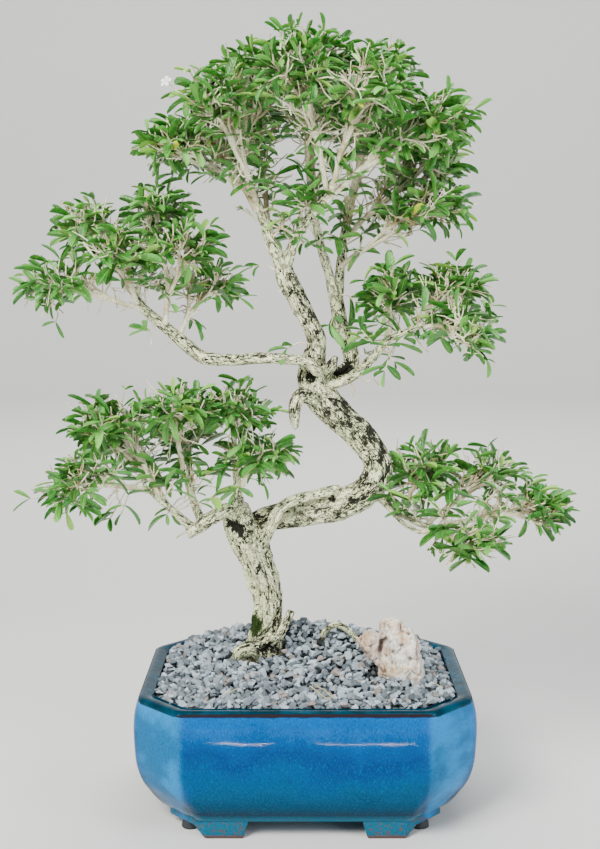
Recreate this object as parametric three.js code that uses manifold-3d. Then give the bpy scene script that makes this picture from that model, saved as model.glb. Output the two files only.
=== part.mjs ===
// A serissa bonsai with an S-shaped trunk and five leafy pads, in a glazed pot with cut corners.
// Millimetres, +Z up. The origin is on the surface under the pot, and the front of the pot faces -Y.
import * as THREE from 'three';
import { mergeVertices } from 'three/addons/utils/BufferGeometryUtils.js';
import Module from 'manifold-3d';

const wasm = await Module();
wasm.setup();

// Driving dimensions
const GAP = 0.3;
const SMOOTHED = 0.1;
const RIM_HEIGHT = 103;
const BASE_HEIGHT = 14;
const GRAVEL_BED = 88;
const GRAVEL_EDGE = 100;
const GRAVEL_RISE = 26;
const PEBBLE = 16;
const LEAF_LENGTH = 25;
const LEAF_WIDTH = 7.4;
const LEAF_THICK = 0.8;
const TWIG_RADIUS = 0.9;
const UP = new THREE.Vector3(0, 0, 1);

// Pot sections from the base up: height, half width, half depth and the size of the cut corner
const POT_OUTSIDE = [
  [BASE_HEIGHT, 112.5, 83, 34], [18, 116, 85.5, 35.5], [25, 121, 89.5, 38], [34, 126, 93.8, 39.5],
  [46, 129.4, 97, 40.8], [60, 130.6, 98.6, 41], [76, 131, 99, 41], [88, 130, 98.2, 39],
  [97, 127.8, 96.6, 35], [101.8, 126.2, 95.2, 32], [RIM_HEIGHT, 125, 94.2, 31.4],
];
const POT_INSIDE = [
  [24, 102, 77, 30], [31, 110.5, 83, 33], [43, 118, 88, 36], [60, 122, 90.5, 38],
  [80, 121.5, 90, 37], [94, 118, 87, 31], [99, 115.6, 84.6, 28], [RIM_HEIGHT, 115, 84, 27.5],
];
const DRAIN = { radius: 11, x: 52 };
const FOOT = { inner: 42, corner: 75.5, front: 82.5, wing: 41, thick: 13, lift: 6.6, slant: 5 };
const FOOT_PAD = { radius: 7.5, x: 87.5, y: 60.5 };

// Trunk and limbs: points chosen along each one, as x, y, z and radius there
const LIMBS = {
  trunk: [[-31, 22, 84, 17], [-33, 22, 100, 18], [-33, 22, 116, 15], [-31, 22, 136, 12], [-30, 22, 154, 11.8],
    [-33, 20, 171, 12.6], [-40, 16, 192, 14], [-46, 12, 208, 15.5], [-52, 9, 222, 14], [-53, 7, 237, 7.5]],
  s_bend: [[-47, 14, 203, 7], [-39, 18, 218, 10], [-27, 18, 223, 11], [-4, 14, 229, 12], [24, 6, 236, 12.7],
    [45, -3, 247, 12], [56, -6, 261, 11.5], [56, -5, 274, 11.4], [48, -1, 287, 11.8], [34, 5, 301, 12],
    [17, 9, 317, 12.8], [7, 11, 332, 12.6], [6, 12, 346, 11], [8, 12, 359, 8.4]],
  upper: [[7, 12, 344, 8.6], [9, 12, 365, 7.6], [3, 10, 381, 7.1], [-5, 8, 397, 7.8], [-13, 6, 413, 8.2],
    [-19, 4, 429, 6.6]],
  brace: [[-34, 9, 203, 4], [-29, 2, 218, 5], [-20, 0, 234, 5.6], [-4, 1, 241, 5], [16, -1, 246, 4.6],
    [34, -5, 251, 4.4], [50, -7, 256, 4]],
  second: [[16, 12, 336, 7], [31, 17, 341, 7.4], [37, 21, 350, 7.1], [34, 24, 364, 6.4], [28, 26, 380, 5.9],
    [25, 28, 398, 5.8]],
  left: [[12, 4, 332, 5], [10, -3, 343, 4.8], [2, -6, 350, 4.7], [-12, -7, 353, 4.4], [-33, -8, 354, 4.4],
    [-58, -10, 353, 4.7], [-77, -12, 355, 5.2], [-88, -12, 362, 5.2], [-102, -11, 374, 4.5],
    [-114, -10, 384, 4.1], [-125, -8, 394, 3.6], [-134, -5, 408, 2.9]],
  right: [[14, 8, 330, 4.6], [27, 2, 334, 4.2], [36, -1, 339, 4.1], [45, -4, 347, 4.1], [54, -7, 357, 3.6],
    [63, -10, 368, 3.3], [77, -14, 375, 2.6], [92, -18, 381, 2.2]],
  old_stub: [[2, 5, 325, 5], [-6, 0, 327, 4.4], [-11, -1, 321, 4], [-10, -1, 312, 3.5], [-8, -1, 302, 2]],
  bar: [[-50, 8, 232, 8], [-63, 4, 231, 6], [-75, 0, 225, 5], [-85, -3, 220, 4.9], [-91, -4, 216, 4.2]],
  top_left: [[-17, 4, 423, 6.4], [-26, 2, 442, 4.8], [-31, 0, 458, 4.2], [-38, -4, 476, 3.3],
    [-48, -8, 490, 2.6]],
  top_front: [[-16, 4, 423, 5.4], [-8, 0, 444, 4], [1, -6, 458, 3.8], [12, -12, 472, 3.4],
    [22, -18, 486, 2.7]],
  back_left: [[25, 28, 394, 5.2], [18, 26, 421, 3.8], [12, 24, 440, 3.6], [8, 21, 460, 3.3],
    [5, 19, 484, 2.7]],
  back_right: [[26, 29, 394, 5], [28, 33, 423, 3.8], [31, 39, 449, 3.4], [35, 44, 474, 2.8]],
  low_up: [[-80, 0, 221, 4.2], [-88, 3, 240, 3.4], [-95, 0, 266, 2.7]],
  low_left: [[-86, -3, 219, 4], [-108, -15, 241, 2.9], [-122, -21, 255, 2.5]],
  low_centre: [[-53, 7, 232, 5.5], [-54, 8, 256, 3.4], [-56, 9, 274, 2.5]],
  low_right: [[54, -4, 250, 4.2], [66, -6, 238, 3.4], [79, -9, 230, 3.1], [92, -11, 224, 2.8],
    [107, -11, 221, 2.4]],
  twin_right: [[60, -8, 246, 3], [72, -15, 230, 2.2], [85, -21, 222, 2.1], [92, -20, 220, 2]],
  cut_root: [[-36, 16, 102, 8], [-27, 9, 118, 6.6], [-18, 9, 133, 5.2], [-10, 12, 148, 4.2]],
  root_left: [[-36, 20, 112, 10], [-48, 12, 109, 7], [-58, 6, 101, 5], [-68, 2, 92, 3.5]],
  root_knob: [[-40, 14, 106, 8], [-47, 8, 111, 6], [-52, 4, 108, 4]],
  root_arc: [[-20, 22, 104, 5], [4, 24, 110, 3.2], [18, 27, 121, 2.4], [30, 28, 126.5, 2.4],
    [41, 28, 120, 2.3], [50, 29, 106, 2]],
};
const THICK_LIMBS = new Set(['trunk', 's_bend', 'upper', 'second', 'cut_root', 'bar', 'root_left']);

// Leafy sprays: the limb and the point on it, from 0 to 1, that each grows from, and the centre and half
// sizes of its leafy head
const SPRAYS = {
  spray_top_1: ['top_left', 0.82, [-98, -14, 502], [33, 28, 24]],
  spray_top_2: ['top_left', 0.56, [-82, 26, 520], [34, 28, 26]],
  spray_top_3: ['top_left', 0.7, [-66, -42, 540], [34, 26, 26]],
  spray_top_4: ['top_left', 0.99, [-40, 4, 566], [36, 28, 26]],
  spray_top_5: ['top_left', 0.4, [-46, 56, 534], [34, 26, 28]],
  spray_top_6: ['top_front', 0.9, [-12, -48, 561], [34, 28, 28]],
  spray_top_7: ['back_left', 0.99, [4, 2, 583], [38, 30, 22]],
  spray_top_8: ['back_left', 0.75, [2, 60, 556], [34, 26, 26]],
  spray_top_9: ['top_front', 0.99, [42, -46, 548], [34, 28, 28]],
  spray_top_10: ['back_right', 0.99, [56, 8, 572], [36, 30, 26]],
  spray_top_11: ['back_right', 0.75, [54, 60, 534], [34, 26, 26]],
  spray_top_12: ['top_front', 0.8, [96, -22, 522], [34, 28, 28]],
  spray_top_13: ['back_right', 0.6, [98, 32, 502], [34, 28, 26]],
  spray_top_14: ['back_right', 0.35, [96, 2, 466], [34, 28, 20]],
  spray_left_1: ['left', 0.86, [-178.5, -30, 402], [32, 26, 24]],
  spray_left_2: ['left', 0.99, [-166, 14, 444], [34, 28, 28]],
  spray_left_3: ['left', 0.93, [-146, -34, 424], [30, 26, 24]],
  spray_left_4: ['left', 0.96, [-124, 2, 462], [30, 28, 26]],
  spray_left_5: ['left', 0.78, [-100, -24, 428], [28, 26, 26]],
  spray_left_6: ['left', 0.7, [-82, 14, 398], [26, 24, 20]],
  spray_right_1: ['right', 0.66, [76, 8, 397], [28, 26, 23]],
  spray_right_2: ['right', 0.99, [121, -24, 374], [34, 26, 27]],
  spray_right_3: ['right', 0.84, [116, 18, 399], [31, 25, 23]],
  spray_low_left_1: ['low_left', 0.99, [-169, -38, 250], [33, 28, 30]],
  spray_low_left_2: ['low_left', 0.75, [-145, -20, 297], [34, 26, 24]],
  spray_low_left_3: ['low_left', 0.5, [-150, 28, 270], [32, 26, 27]],
  spray_low_left_4: ['low_up', 0.99, [-106, -12, 307], [32, 26, 24]],
  spray_low_left_5: ['low_up', 0.6, [-99, 38, 280], [32, 26, 26]],
  spray_low_left_6: ['low_centre', 0.99, [-62, 4, 302], [32, 28, 24]],
  spray_low_left_7: ['low_centre', 0.45, [-38, 10, 268], [27, 27, 26]],
  spray_low_right_1: ['low_right', 0.5, [96, 9, 256], [28, 26, 23]],
  spray_low_right_2: ['twin_right', 0.99, [128, -32, 211], [32, 25, 27]],
  spray_low_right_3: ['low_right', 0.8, [141, 17, 250], [32, 28, 24]],
  spray_low_right_4: ['low_right', 0.99, [174, 2, 225], [34, 28, 26]],
};
const TWIGS_A_SPRAY = 5;
const LEAVES_A_TWIG = 2;
const BLOOM = { name: 'flower', spray: 'spray_top_3', at: [-97, -44, 553], petal: 4.4, petals: 5 };
const BUD = { name: 'bud', spray: 'spray_right_2', at: [138, -22, 377], length: 6, radius: 1.8 };
const STONE_LUMPS = [
  { at: [73, -16, 123], size: [24, 19, 26], seed: 3, cuts: 9 },
  { at: [57, -15, 122], size: [20, 17, 24], seed: 8, cuts: 8 },
];

// Colours, from the object
function finish(color, roughness, metalness = 0) {
  return new THREE.MeshStandardMaterial({ color, roughness, metalness });
}
const glaze = finish(0x1280b8, 0.15);
const rubber = finish(0x1c1f22, 0.8);
const mix = finish(0x4a3a2c, 0.95);
const chips = finish(0x9d9d98, 0.9);
const rock = finish(0xd8b8a4, 0.9);
const bark = finish(0xb3ab8e, 0.85);
const leaves = finish(0x3f8a2a, 0.5);
const petals = finish(0xf6f4ee, 0.6);

// Seeded random numbers from 0 to 1
function randomFrom(seed) {
  let state = seed >>> 0;
  return () => {
    state = (state + 0x6d2b79f5) >>> 0;
    let mixed = Math.imul(state ^ (state >>> 15), state | 1);
    mixed ^= mixed + Math.imul(mixed ^ (mixed >>> 7), mixed | 61);
    return ((mixed ^ (mixed >>> 14)) >>> 0) / 4294967296;
  };
}

// A closed geometry as a solid that can be joined and cut, and back
function solidOf(geometry) {
  const bare = geometry.clone();
  bare.deleteAttribute('normal');
  bare.deleteAttribute('uv');
  const merged = mergeVertices(bare, 1e-4);
  return new wasm.Manifold(new wasm.Mesh({
    numProp: 3,
    vertProperties: new Float32Array(merged.attributes.position.array),
    triVerts: new Uint32Array(merged.index.array),
  }));
}

function largestBody(solid) {
  const bodies = solid.decompose();
  return bodies.reduce((best, body) => (body.volume() > best.volume() ? body : best));
}

const group = new THREE.Group();
function addNode(name, solid, material) {
  const { vertProperties, triVerts, numProp } = solid.getMesh();
  const geometry = new THREE.BufferGeometry();
  const positions = [];
  for (let i = 0; i < vertProperties.length; i += numProp) positions.push(...vertProperties.slice(i, i + 3));
  geometry.setAttribute('position', new THREE.Float32BufferAttribute(positions, 3));
  geometry.setIndex([...triVerts]);
  geometry.computeVertexNormals();
  const mesh = new THREE.Mesh(geometry, material);
  mesh.name = name;
  group.add(mesh);
  return mesh;
}

// A closed loft: a unit cylinder whose rings are moved. place(ring, x, z) gives the new point, where ring
// counts from the cylinder's top and (x, z) is on the unit circle, or (0, 0) at the middle of an end
function loft(sides, steps, place) {
  const geometry = new THREE.CylinderGeometry(1, 1, 1, sides, steps);
  const position = geometry.attributes.position;
  for (let i = 0; i < position.count; i += 1) {
    const ring = Math.round((0.5 - position.getY(i)) * steps);
    const point = place(ring, position.getX(i), position.getZ(i));
    position.setXYZ(i, point.x, point.y, point.z);
  }
  return solidOf(geometry);
}

function curveThrough(points) {
  const places = points.map(([x, y, z]) => new THREE.Vector3(x, y, z));
  return new THREE.CatmullRomCurve3(places, false, 'centripetal');
}

// A round tapered limb along a smooth curve, with low ridges of bark that wind up it
function limb(points, sides, steps, swell = 0, ridges = 0) {
  const curve = curveThrough(points);
  const frames = curve.computeFrenetFrames(steps, false);
  const spans = points.length - 1;
  return loft(sides, steps, (ring, x, z) => {
    const u = ring / steps;
    const t = curve.getUtoTmapping(u);
    const at = Math.min(Math.floor(t * spans), spans - 1);
    const radius = THREE.MathUtils.lerp(points[at][3], points[at + 1][3], t * spans - at) + swell;
    const ridge = 1 + ridges * Math.sin(3 * Math.atan2(x, z) + 9 * u);
    const beyond = ring === 0 ? -swell : (ring === steps ? swell : 0);
    return curve.getPointAt(u)
      .addScaledVector(frames.tangents[ring], beyond)
      .addScaledVector(frames.normals[ring], x * radius * ridge)
      .addScaledVector(frames.binormals[ring], z * radius * ridge);
  });
}

// Pot: lofts of a rectangle with cut corners, each broken by a narrow chamfer
const CORNER_BREAK = 2.5;
const POT_SIDES = 16;
function cutRectangle(halfWidth, halfDepth, cut) {
  const corners = [
    [halfWidth, -halfDepth + cut], [halfWidth, halfDepth - cut], [halfWidth - cut, halfDepth],
    [-halfWidth + cut, halfDepth], [-halfWidth, halfDepth - cut], [-halfWidth, -halfDepth + cut],
    [-halfWidth + cut, -halfDepth], [halfWidth - cut, -halfDepth],
  ].map(([x, y]) => new THREE.Vector2(x, y));
  return corners.flatMap((corner, i) => [7, 1].map((step) => {
    const toward = corners[(i + step) % 8].clone().sub(corner).setLength(CORNER_BREAK);
    return toward.add(corner);
  }));
}

function sectionAt(sections, z) {
  let i = 0;
  while (i < sections.length - 2 && z > sections[i + 1][0]) i += 1;
  const share = THREE.MathUtils.clamp((z - sections[i][0]) / (sections[i + 1][0] - sections[i][0]), 0, 1);
  return sections[i].map((value, k) => THREE.MathUtils.lerp(value, sections[i + 1][k], share));
}

function potLoft(sections) {
  const rings = sections.map(([z, ...section]) => ({ z, outline: cutRectangle(...section) }));
  rings.reverse();
  return loft(POT_SIDES, rings.length - 1, (ring, x, z) => {
    const { z: height, outline } = rings[ring];
    if (Math.hypot(x, z) < 0.5) return new THREE.Vector3(0, 0, height);
    const turn = Math.atan2(x, z) / (2 * Math.PI);
    const corner = outline[(Math.round(turn * POT_SIDES) + POT_SIDES) % POT_SIDES];
    return new THREE.Vector3(corner.x, corner.y, height);
  });
}

// What fills the pot through the given heights, a gap clear of its wall
function potFilling(heights) {
  return potLoft(heights.map((z) => {
    const [, halfWidth, halfDepth, cut] = sectionAt(POT_INSIDE, z);
    return [z, halfWidth - GAP, halfDepth - GAP, cut];
  }));
}

function extruded(points, depth) {
  const shape = new THREE.Shape(points.map(([x, y]) => new THREE.Vector2(x, y)));
  return new THREE.ExtrudeGeometry(shape, { depth, bevelEnabled: false });
}

// A bracket foot: a straight front leg, and a wing along the cut corner whose lower edge rises outwards
function foot(sideX, sideY) {
  const { inner, corner, front, wing, thick, lift, slant } = FOOT;
  const diagonal = wing / Math.SQRT2;
  const inset = thick * Math.tan(Math.PI / 8);
  const plan = [
    [inner, front], [corner, front], [corner + diagonal, front - diagonal],
    [corner + diagonal - thick / Math.SQRT2, front - diagonal - thick / Math.SQRT2],
    [corner - inset, front - thick], [inner, front - thick],
  ].map(([x, y]) => [x * sideX, y * sideY]);
  const block = solidOf(extruded(plan, BASE_HEIGHT + 2));
  const wedge = extruded([[0, -1], [wing + 2, -1], [wing + 2, lift], [wing * 0.3, lift], [0, 0]], 3 * thick);
  wedge.translate(0, 0, -1.5 * thick);
  wedge.rotateX(Math.PI / 2);
  wedge.rotateZ(-Math.PI / 4);
  wedge.translate(corner, front, 0);
  const slope = [[inner - 1, -1], [inner + slant, -1], [inner, BASE_HEIGHT], [inner - 1, BASE_HEIGHT]];
  const end = extruded(slope, 3 * thick);
  end.translate(0, 0, -1.5 * thick);
  end.rotateX(Math.PI / 2);
  end.translate(0, front - thick / 2, 0);
  const turnOver = (geometry) => solidOf(geometry).scale([sideX, sideY, 1]);
  return block.subtract(turnOver(wedge)).subtract(turnOver(end));
}

const mirrors = [[-1, -1], [1, -1], [1, 1], [-1, 1]];
function buildPot() {
  let pot = potLoft(POT_OUTSIDE);
  mirrors.forEach(([sideX, sideY]) => { pot = pot.add(foot(sideX, sideY)); });
  const [, ...mouth] = POT_INSIDE.at(-1);
  pot = pot.subtract(potLoft([...POT_INSIDE, [RIM_HEIGHT + 5, ...mouth]]));
  [-DRAIN.x, DRAIN.x].forEach((x) => {
    const hole = new THREE.CylinderGeometry(DRAIN.radius, DRAIN.radius, 40, 16);
    hole.rotateX(Math.PI / 2);
    hole.translate(x, 0, BASE_HEIGHT);
    pot = pot.subtract(solidOf(hole));
  });
  addNode('pot', pot, glaze);
  mirrors.forEach(([sideX, sideY], i) => {
    const height = FOOT.lift - GAP;
    const pad = new THREE.CylinderGeometry(FOOT_PAD.radius - 0.8, FOOT_PAD.radius, height, 10);
    pad.rotateX(Math.PI / 2);
    pad.translate(FOOT_PAD.x * sideX, FOOT_PAD.y * sideY, height / 2);
    addNode(`foot_pad_${i + 1}`, solidOf(pad), rubber);
  });
}

// Trunk: its limbs joined into one piece of wood; swell gives the same shape a little larger
const limbSides = (name) => (THICK_LIMBS.has(name) ? 8 : 5);
const limbSteps = (name) => LIMBS[name].length - 1;
function buildTrunk(swell) {
  return Object.entries(LIMBS).map(([name, points]) => (
    limb(points, limbSides(name), limbSteps(name), swell, THICK_LIMBS.has(name) ? 0.07 : 0)
  )).reduce((whole, piece) => whole.add(piece)).simplify(SMOOTHED);
}
const trunk = buildTrunk(0);
const trunkRoom = buildTrunk(GAP);

// Height of the gravel's mound, which is highest behind the trunk
function moundHeight(x, y) {
  const across = (x + 14) / (x < -14 ? 97 : 125);
  const along = y < 46 ? ((Math.max(y, -84) + 84) / 130) ** 2.6 : 1 - ((y - 46) / 42) ** 2;
  return GRAVEL_EDGE + GRAVEL_RISE * Math.max(0, 1 - across * across) * Math.max(0, along);
}

// Gravel: a leaning grid of equal triangles on which every third point is the top of a chip, clipped to the
// pot and cut clear of the trunk and the stone
function buildGravel(stoneRoom) {
  const random = randomFrom(11);
  const column = PEBBLE / Math.sqrt(3);
  const row = PEBBLE / 2;
  const rows = 2 * Math.ceil(96 / row);
  const columns = 2 * Math.ceil((130 + (rows * column) / 4) / column);
  const sheet = new THREE.BoxGeometry(columns * column, rows * row, 1, columns, rows, 1);
  const position = sheet.attributes.position;
  const chipsAt = new Map();
  for (let i = 0; i < position.count; i += 1) {
    const c = Math.round(position.getX(i) / column + columns / 2);
    const r = Math.round(position.getY(i) / row + rows / 2);
    const key = `${c},${r}`;
    if (!chipsAt.has(key)) {
      const x = position.getX(i) + (rows / 2 - r) * column * 0.5 + (random() - 0.5) * column * 0.5;
      const y = position.getY(i) + (random() - 0.5) * row * 0.5;
      const relief = (c + r) % 3 === 0 ? 2.2 + 2.4 * random() : -1.2 * random();
      chipsAt.set(key, [x, y, moundHeight(x, y) + relief]);
    }
    const [x, y, top] = chipsAt.get(key);
    position.setXYZ(i, x, y, position.getZ(i) > 0 ? top : GRAVEL_BED);
  }
  const bed = potFilling([GRAVEL_BED, 99, RIM_HEIGHT, RIM_HEIGHT + 40]);
  const crust = solidOf(sheet).intersect(bed).subtract(trunkRoom).subtract(stoneRoom);
  return largestBody(crust).simplify(SMOOTHED);
}

// Stone: two lumps of rock grown together, broken by flat cuts
function lump({ at, size, seed, cuts }, swell) {
  const random = randomFrom(seed);
  const geometry = new THREE.IcosahedronGeometry(1, 1);
  const faces = Array.from({ length: cuts }, () => ({
    side: new THREE.Vector3(random() * 2 - 1, random() * 2 - 1, random() * 2 - 1).normalize(),
    reach: 0.55 + 0.3 * random(),
  }));
  const position = geometry.attributes.position;
  const point = new THREE.Vector3();
  for (let i = 0; i < position.count; i += 1) {
    point.fromBufferAttribute(position, i);
    faces.forEach(({ side, reach }) => point.addScaledVector(side, -Math.max(0, point.dot(side) - reach)));
    const [x, y, z] = size.map((half, k) => at[k] + (half + swell) * point.getComponent(k));
    position.setXYZ(i, x, y, z);
  }
  return solidOf(geometry);
}
function buildStone(swell) {
  return STONE_LUMPS.map((piece) => lump(piece, swell)).reduce((whole, piece) => whole.add(piece));
}

// Shortest distance between two straight stretches, each from a to b
function stretchDistance(one, two) {
  const along = one.b.clone().sub(one.a);
  const across = two.b.clone().sub(two.a);
  const between = one.a.clone().sub(two.a);
  const [aa, bb, ab] = [along.dot(along), across.dot(across), along.dot(across)];
  const [ar, br] = [along.dot(between), across.dot(between)];
  const spread = aa * bb - ab * ab;
  let s = spread > 1e-9 ? THREE.MathUtils.clamp((ab * br - ar * bb) / spread, 0, 1) : 0;
  let t = (ab * s + br) / bb;
  if (t < 0 || t > 1) {
    t = THREE.MathUtils.clamp(t, 0, 1);
    s = THREE.MathUtils.clamp((ab * t - ar) / aa, 0, 1);
  }
  return one.a.clone().addScaledVector(along, s).distanceTo(two.a.clone().addScaledVector(across, t));
}

// Everything that a shoot or leaf has to stay clear of, as straight stretches with a radius
const taken = [];
function isClear(stretch, owner, mother) {
  return taken.every((other) => {
    if (other.id.startsWith(mother)) return true;
    const room = other.owner === owner ? 0.2 : GAP + 0.2;
    return stretchDistance(stretch, other) > stretch.radius + other.radius + room;
  });
}
function take(stretches, owner, id) {
  stretches.forEach((stretch) => taken.push({ ...stretch, owner, id }));
}
function stretchesOf(curve, count, radius) {
  const points = curve.getSpacedPoints(count);
  return points.slice(1).map((b, i) => ({ a: points[i], b, radius }));
}

// A long closed piece with a three-sided section and a point at each end: a sphere of few faces whose
// rings are moved. Each ring has a middle, a half width, a height and the ways of both
function spindle(rings, start, end) {
  const geometry = new THREE.SphereGeometry(1, 3, rings.length + 1);
  const position = geometry.attributes.position;
  for (let i = 0; i < position.count; i += 1) {
    const down = Math.acos(THREE.MathUtils.clamp(position.getY(i), -1, 1)) / Math.PI;
    const ring = Math.round(down * (rings.length + 1));
    const corner = Math.round((Math.atan2(position.getZ(i), -position.getX(i)) / (2 * Math.PI)) * 3);
    let point = ring === 0 ? start : end;
    if (ring > 0 && ring <= rings.length) {
      const { middle, across, normal, half, height } = rings[ring - 1];
      point = middle.clone().addScaledVector(normal, corner === 0 ? -0.6 * height : 0.4 * height);
      point.addScaledVector(across, half * corner);
    }
    position.setXYZ(i, point.x, point.y, point.z);
  }
  return solidOf(geometry);
}

// The two rings of a leaf blade, which has a keel under it and bends down a little towards its tip
function bladeRings({ base, along, facing, length, width }) {
  const across = new THREE.Vector3().crossVectors(along, facing).normalize();
  const normal = new THREE.Vector3().crossVectors(across, along).normalize();
  const middle = (reach) => base.clone().addScaledVector(along, reach).addScaledVector(normal, 0.06 * reach);
  return [0.34, 0.7].map((share) => ({
    middle: middle(length * share),
    across,
    normal,
    half: width / 2,
    height: LEAF_THICK,
  }));
}
const leafTip = ({ base, along, length }) => base.clone().addScaledVector(along, length);

// The way from the middle of a head to a point on it, spread evenly by the golden angle
function headWay(i, count, turn) {
  const around = i * 2.39996 + turn;
  const rise = THREE.MathUtils.lerp(-0.7, 0.97, (i + 0.5) / count);
  const flat = Math.sqrt(1 - rise * rise);
  return new THREE.Vector3(flat * Math.cos(around), flat * Math.sin(around), rise);
}

function planSpray(name, index) {
  const [limbName, share, centre, size] = SPRAYS[name];
  const random = randomFrom(100 + index);
  const root = curveThrough(LIMBS[limbName]).getPointAt(share);
  const head = new THREE.Vector3(...centre);
  const crown = head.clone().addScaledVector(UP, -0.3 * size[2]);
  const bend = root.clone().lerp(crown, 0.55);
  bend.x += (crown.x - root.x) * 0.08;
  bend.z += Math.hypot(crown.x - root.x, crown.y - root.y) * 0.04;
  const points = [[root, 2], [bend, 1.6], [crown, 1.1]].map(([{ x, y, z }, radius]) => [x, y, z, radius]);
  const stem = new THREE.CatmullRomCurve3([root, bend, crown]);
  take(stretchesOf(stem, 4, 1.6), name, `${name} stem`);
  const parts = [limb(points, 3, 2)];
  return { name, head, size: new THREE.Vector3(...size), random, stem, parts, twigs: [] };
}

// A twig from the spray's stem to a point in its head, or to a given point
function addTwig(spray, i, target) {
  const { name, head, size, random, stem, twigs } = spray;
  const start = stem.getPointAt(target ? 0.75 : 0.5 + 0.48 * ((i + 1) / TWIGS_A_SPRAY));
  for (let attempt = 0; attempt < 14; attempt += 1) {
    const way = headWay(i, TWIGS_A_SPRAY, 2.1 * head.x + 0.45 * attempt * (random() - 0.5));
    const tip = target ?? head.clone().add(way.clone().multiply(size).multiplyScalar(0.62 - 0.02 * attempt));
    const stretch = { a: start.clone().lerp(tip, 0.08), b: tip, radius: TWIG_RADIUS + 0.2 };
    if (target || isClear(stretch, name, `${name} `)) {
      const id = `${name} twig ${twigs.length}`;
      take([stretch], name, id);
      const side = new THREE.Vector3(random() - 0.5, random() - 0.5, 0.6 * random()).normalize();
      twigs.push({ id, start, tip, way, side, grow: tip.clone().sub(start).normalize() });
      return;
    }
  }
}

// A place for a leaf near the end of a twig where it is clear of everything else, or nothing
function findLeaf(spray, twig, back, spread) {
  const { name, random } = spray;
  for (let attempt = 0; attempt < 20; attempt += 1) {
    const length = LEAF_LENGTH * (0.82 + 0.3 * random()) * (attempt < 12 ? 1 : 0.8);
    const lean = new THREE.Vector3(random() - 0.5, random() - 0.5, random() - 0.3);
    lean.multiplyScalar(0.5 + 0.1 * attempt);
    const side = twig.side.clone().add(lean).cross(twig.grow).normalize();
    const along = twig.grow.clone().lerp(twig.way, 0.5).normalize();
    along.addScaledVector(side, spread * (0.8 + 0.4 * random())).normalize();
    const base = twig.tip.clone().addScaledVector(twig.grow, -back);
    const stretch = {
      a: base.clone().addScaledVector(along, 3.5),
      b: base.clone().addScaledVector(along, length),
      radius: LEAF_WIDTH * 0.43,
    };
    if (isClear(stretch, name, twig.id)) {
      take([stretch], name, `${twig.id} leaf`);
      const facing = UP.clone().addScaledVector(side, 0.25).addScaledVector(twig.way, 0.3);
      return { base, along, facing, length, width: LEAF_WIDTH * (0.85 + 0.3 * random()) };
    }
  }
  return null;
}

// The twig itself, drawn out into the leaf at its end if it has one
function growTwig(spray, twig) {
  const { start, tip, grow, bare } = twig;
  const end = bare ? null : findLeaf(spray, twig, 0, 0.45);
  const [lead, ...blade] = bladeRings(end ?? { base: tip, along: grow, facing: UP, length: 1, width: 1 });
  const { across, normal } = lead;
  const ring = (middle, radius) => ({ middle, across, normal, half: 0.9 * radius, height: 1.6 * radius });
  const [low, high] = [0.1, 0.95].map((share) => start.clone().lerp(tip, share));
  const rings = [ring(low, TWIG_RADIUS + 0.3), ring(high, TWIG_RADIUS)];
  if (end) rings.push(lead, ...blade);
  spray.parts.push(spindle(rings, start, end ? leafTip(end) : tip));
}

function growSideLeaf(spray, twig, i) {
  const side = findLeaf(spray, twig, 1.5 + 5 * i, -0.6);
  if (side) spray.parts.push(spindle(bladeRings(side), side.base, leafTip(side)));
}

// A flower of five petals, and a closed bud, each just past the end of a twig
function buildFlower(tip, way) {
  const { petal, petals: count } = BLOOM;
  const turned = new THREE.Quaternion().setFromUnitVectors(new THREE.Vector3(0, 1, 0), way);
  const tube = new THREE.CylinderGeometry(1.4, 0.8, 4, 5);
  tube.translate(0, 2, 0);
  const pieces = [tube, ...Array.from({ length: count }, (_, i) => {
    const blade = new THREE.SphereGeometry(1, 3, 3);
    blade.rotateX(Math.PI / 2);
    blade.scale(0.42 * petal, 0.5, 0.56 * petal);
    blade.translate(0, 0, 0.5 * petal);
    blade.rotateX(-0.35);
    blade.rotateY((i * 2 * Math.PI) / count);
    blade.translate(0, 3.6, 0);
    return blade;
  })];
  return pieces.map((geometry) => {
    geometry.applyQuaternion(turned);
    geometry.translate(...tip.clone().addScaledVector(way, GAP));
    return solidOf(geometry);
  }).reduce((whole, piece) => whole.add(piece));
}
function buildBud(tip, way) {
  const geometry = new THREE.SphereGeometry(1, 5, 4);
  geometry.scale(BUD.radius, BUD.length / 2, BUD.radius);
  geometry.applyQuaternion(new THREE.Quaternion().setFromUnitVectors(new THREE.Vector3(0, 1, 0), way));
  geometry.translate(...tip.clone().addScaledVector(way, GAP + BUD.length / 2));
  return solidOf(geometry);
}

function takeTrunk() {
  const pieces = 10;
  Object.entries(LIMBS).forEach(([name, points]) => {
    stretchesOf(curveThrough(points), pieces, 0).forEach((stretch, i) => {
      const radius = points[Math.round((i / pieces) * (points.length - 1))][3];
      taken.push({ ...stretch, radius, owner: 'trunk', id: 'trunk' });
    });
  });
}

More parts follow.
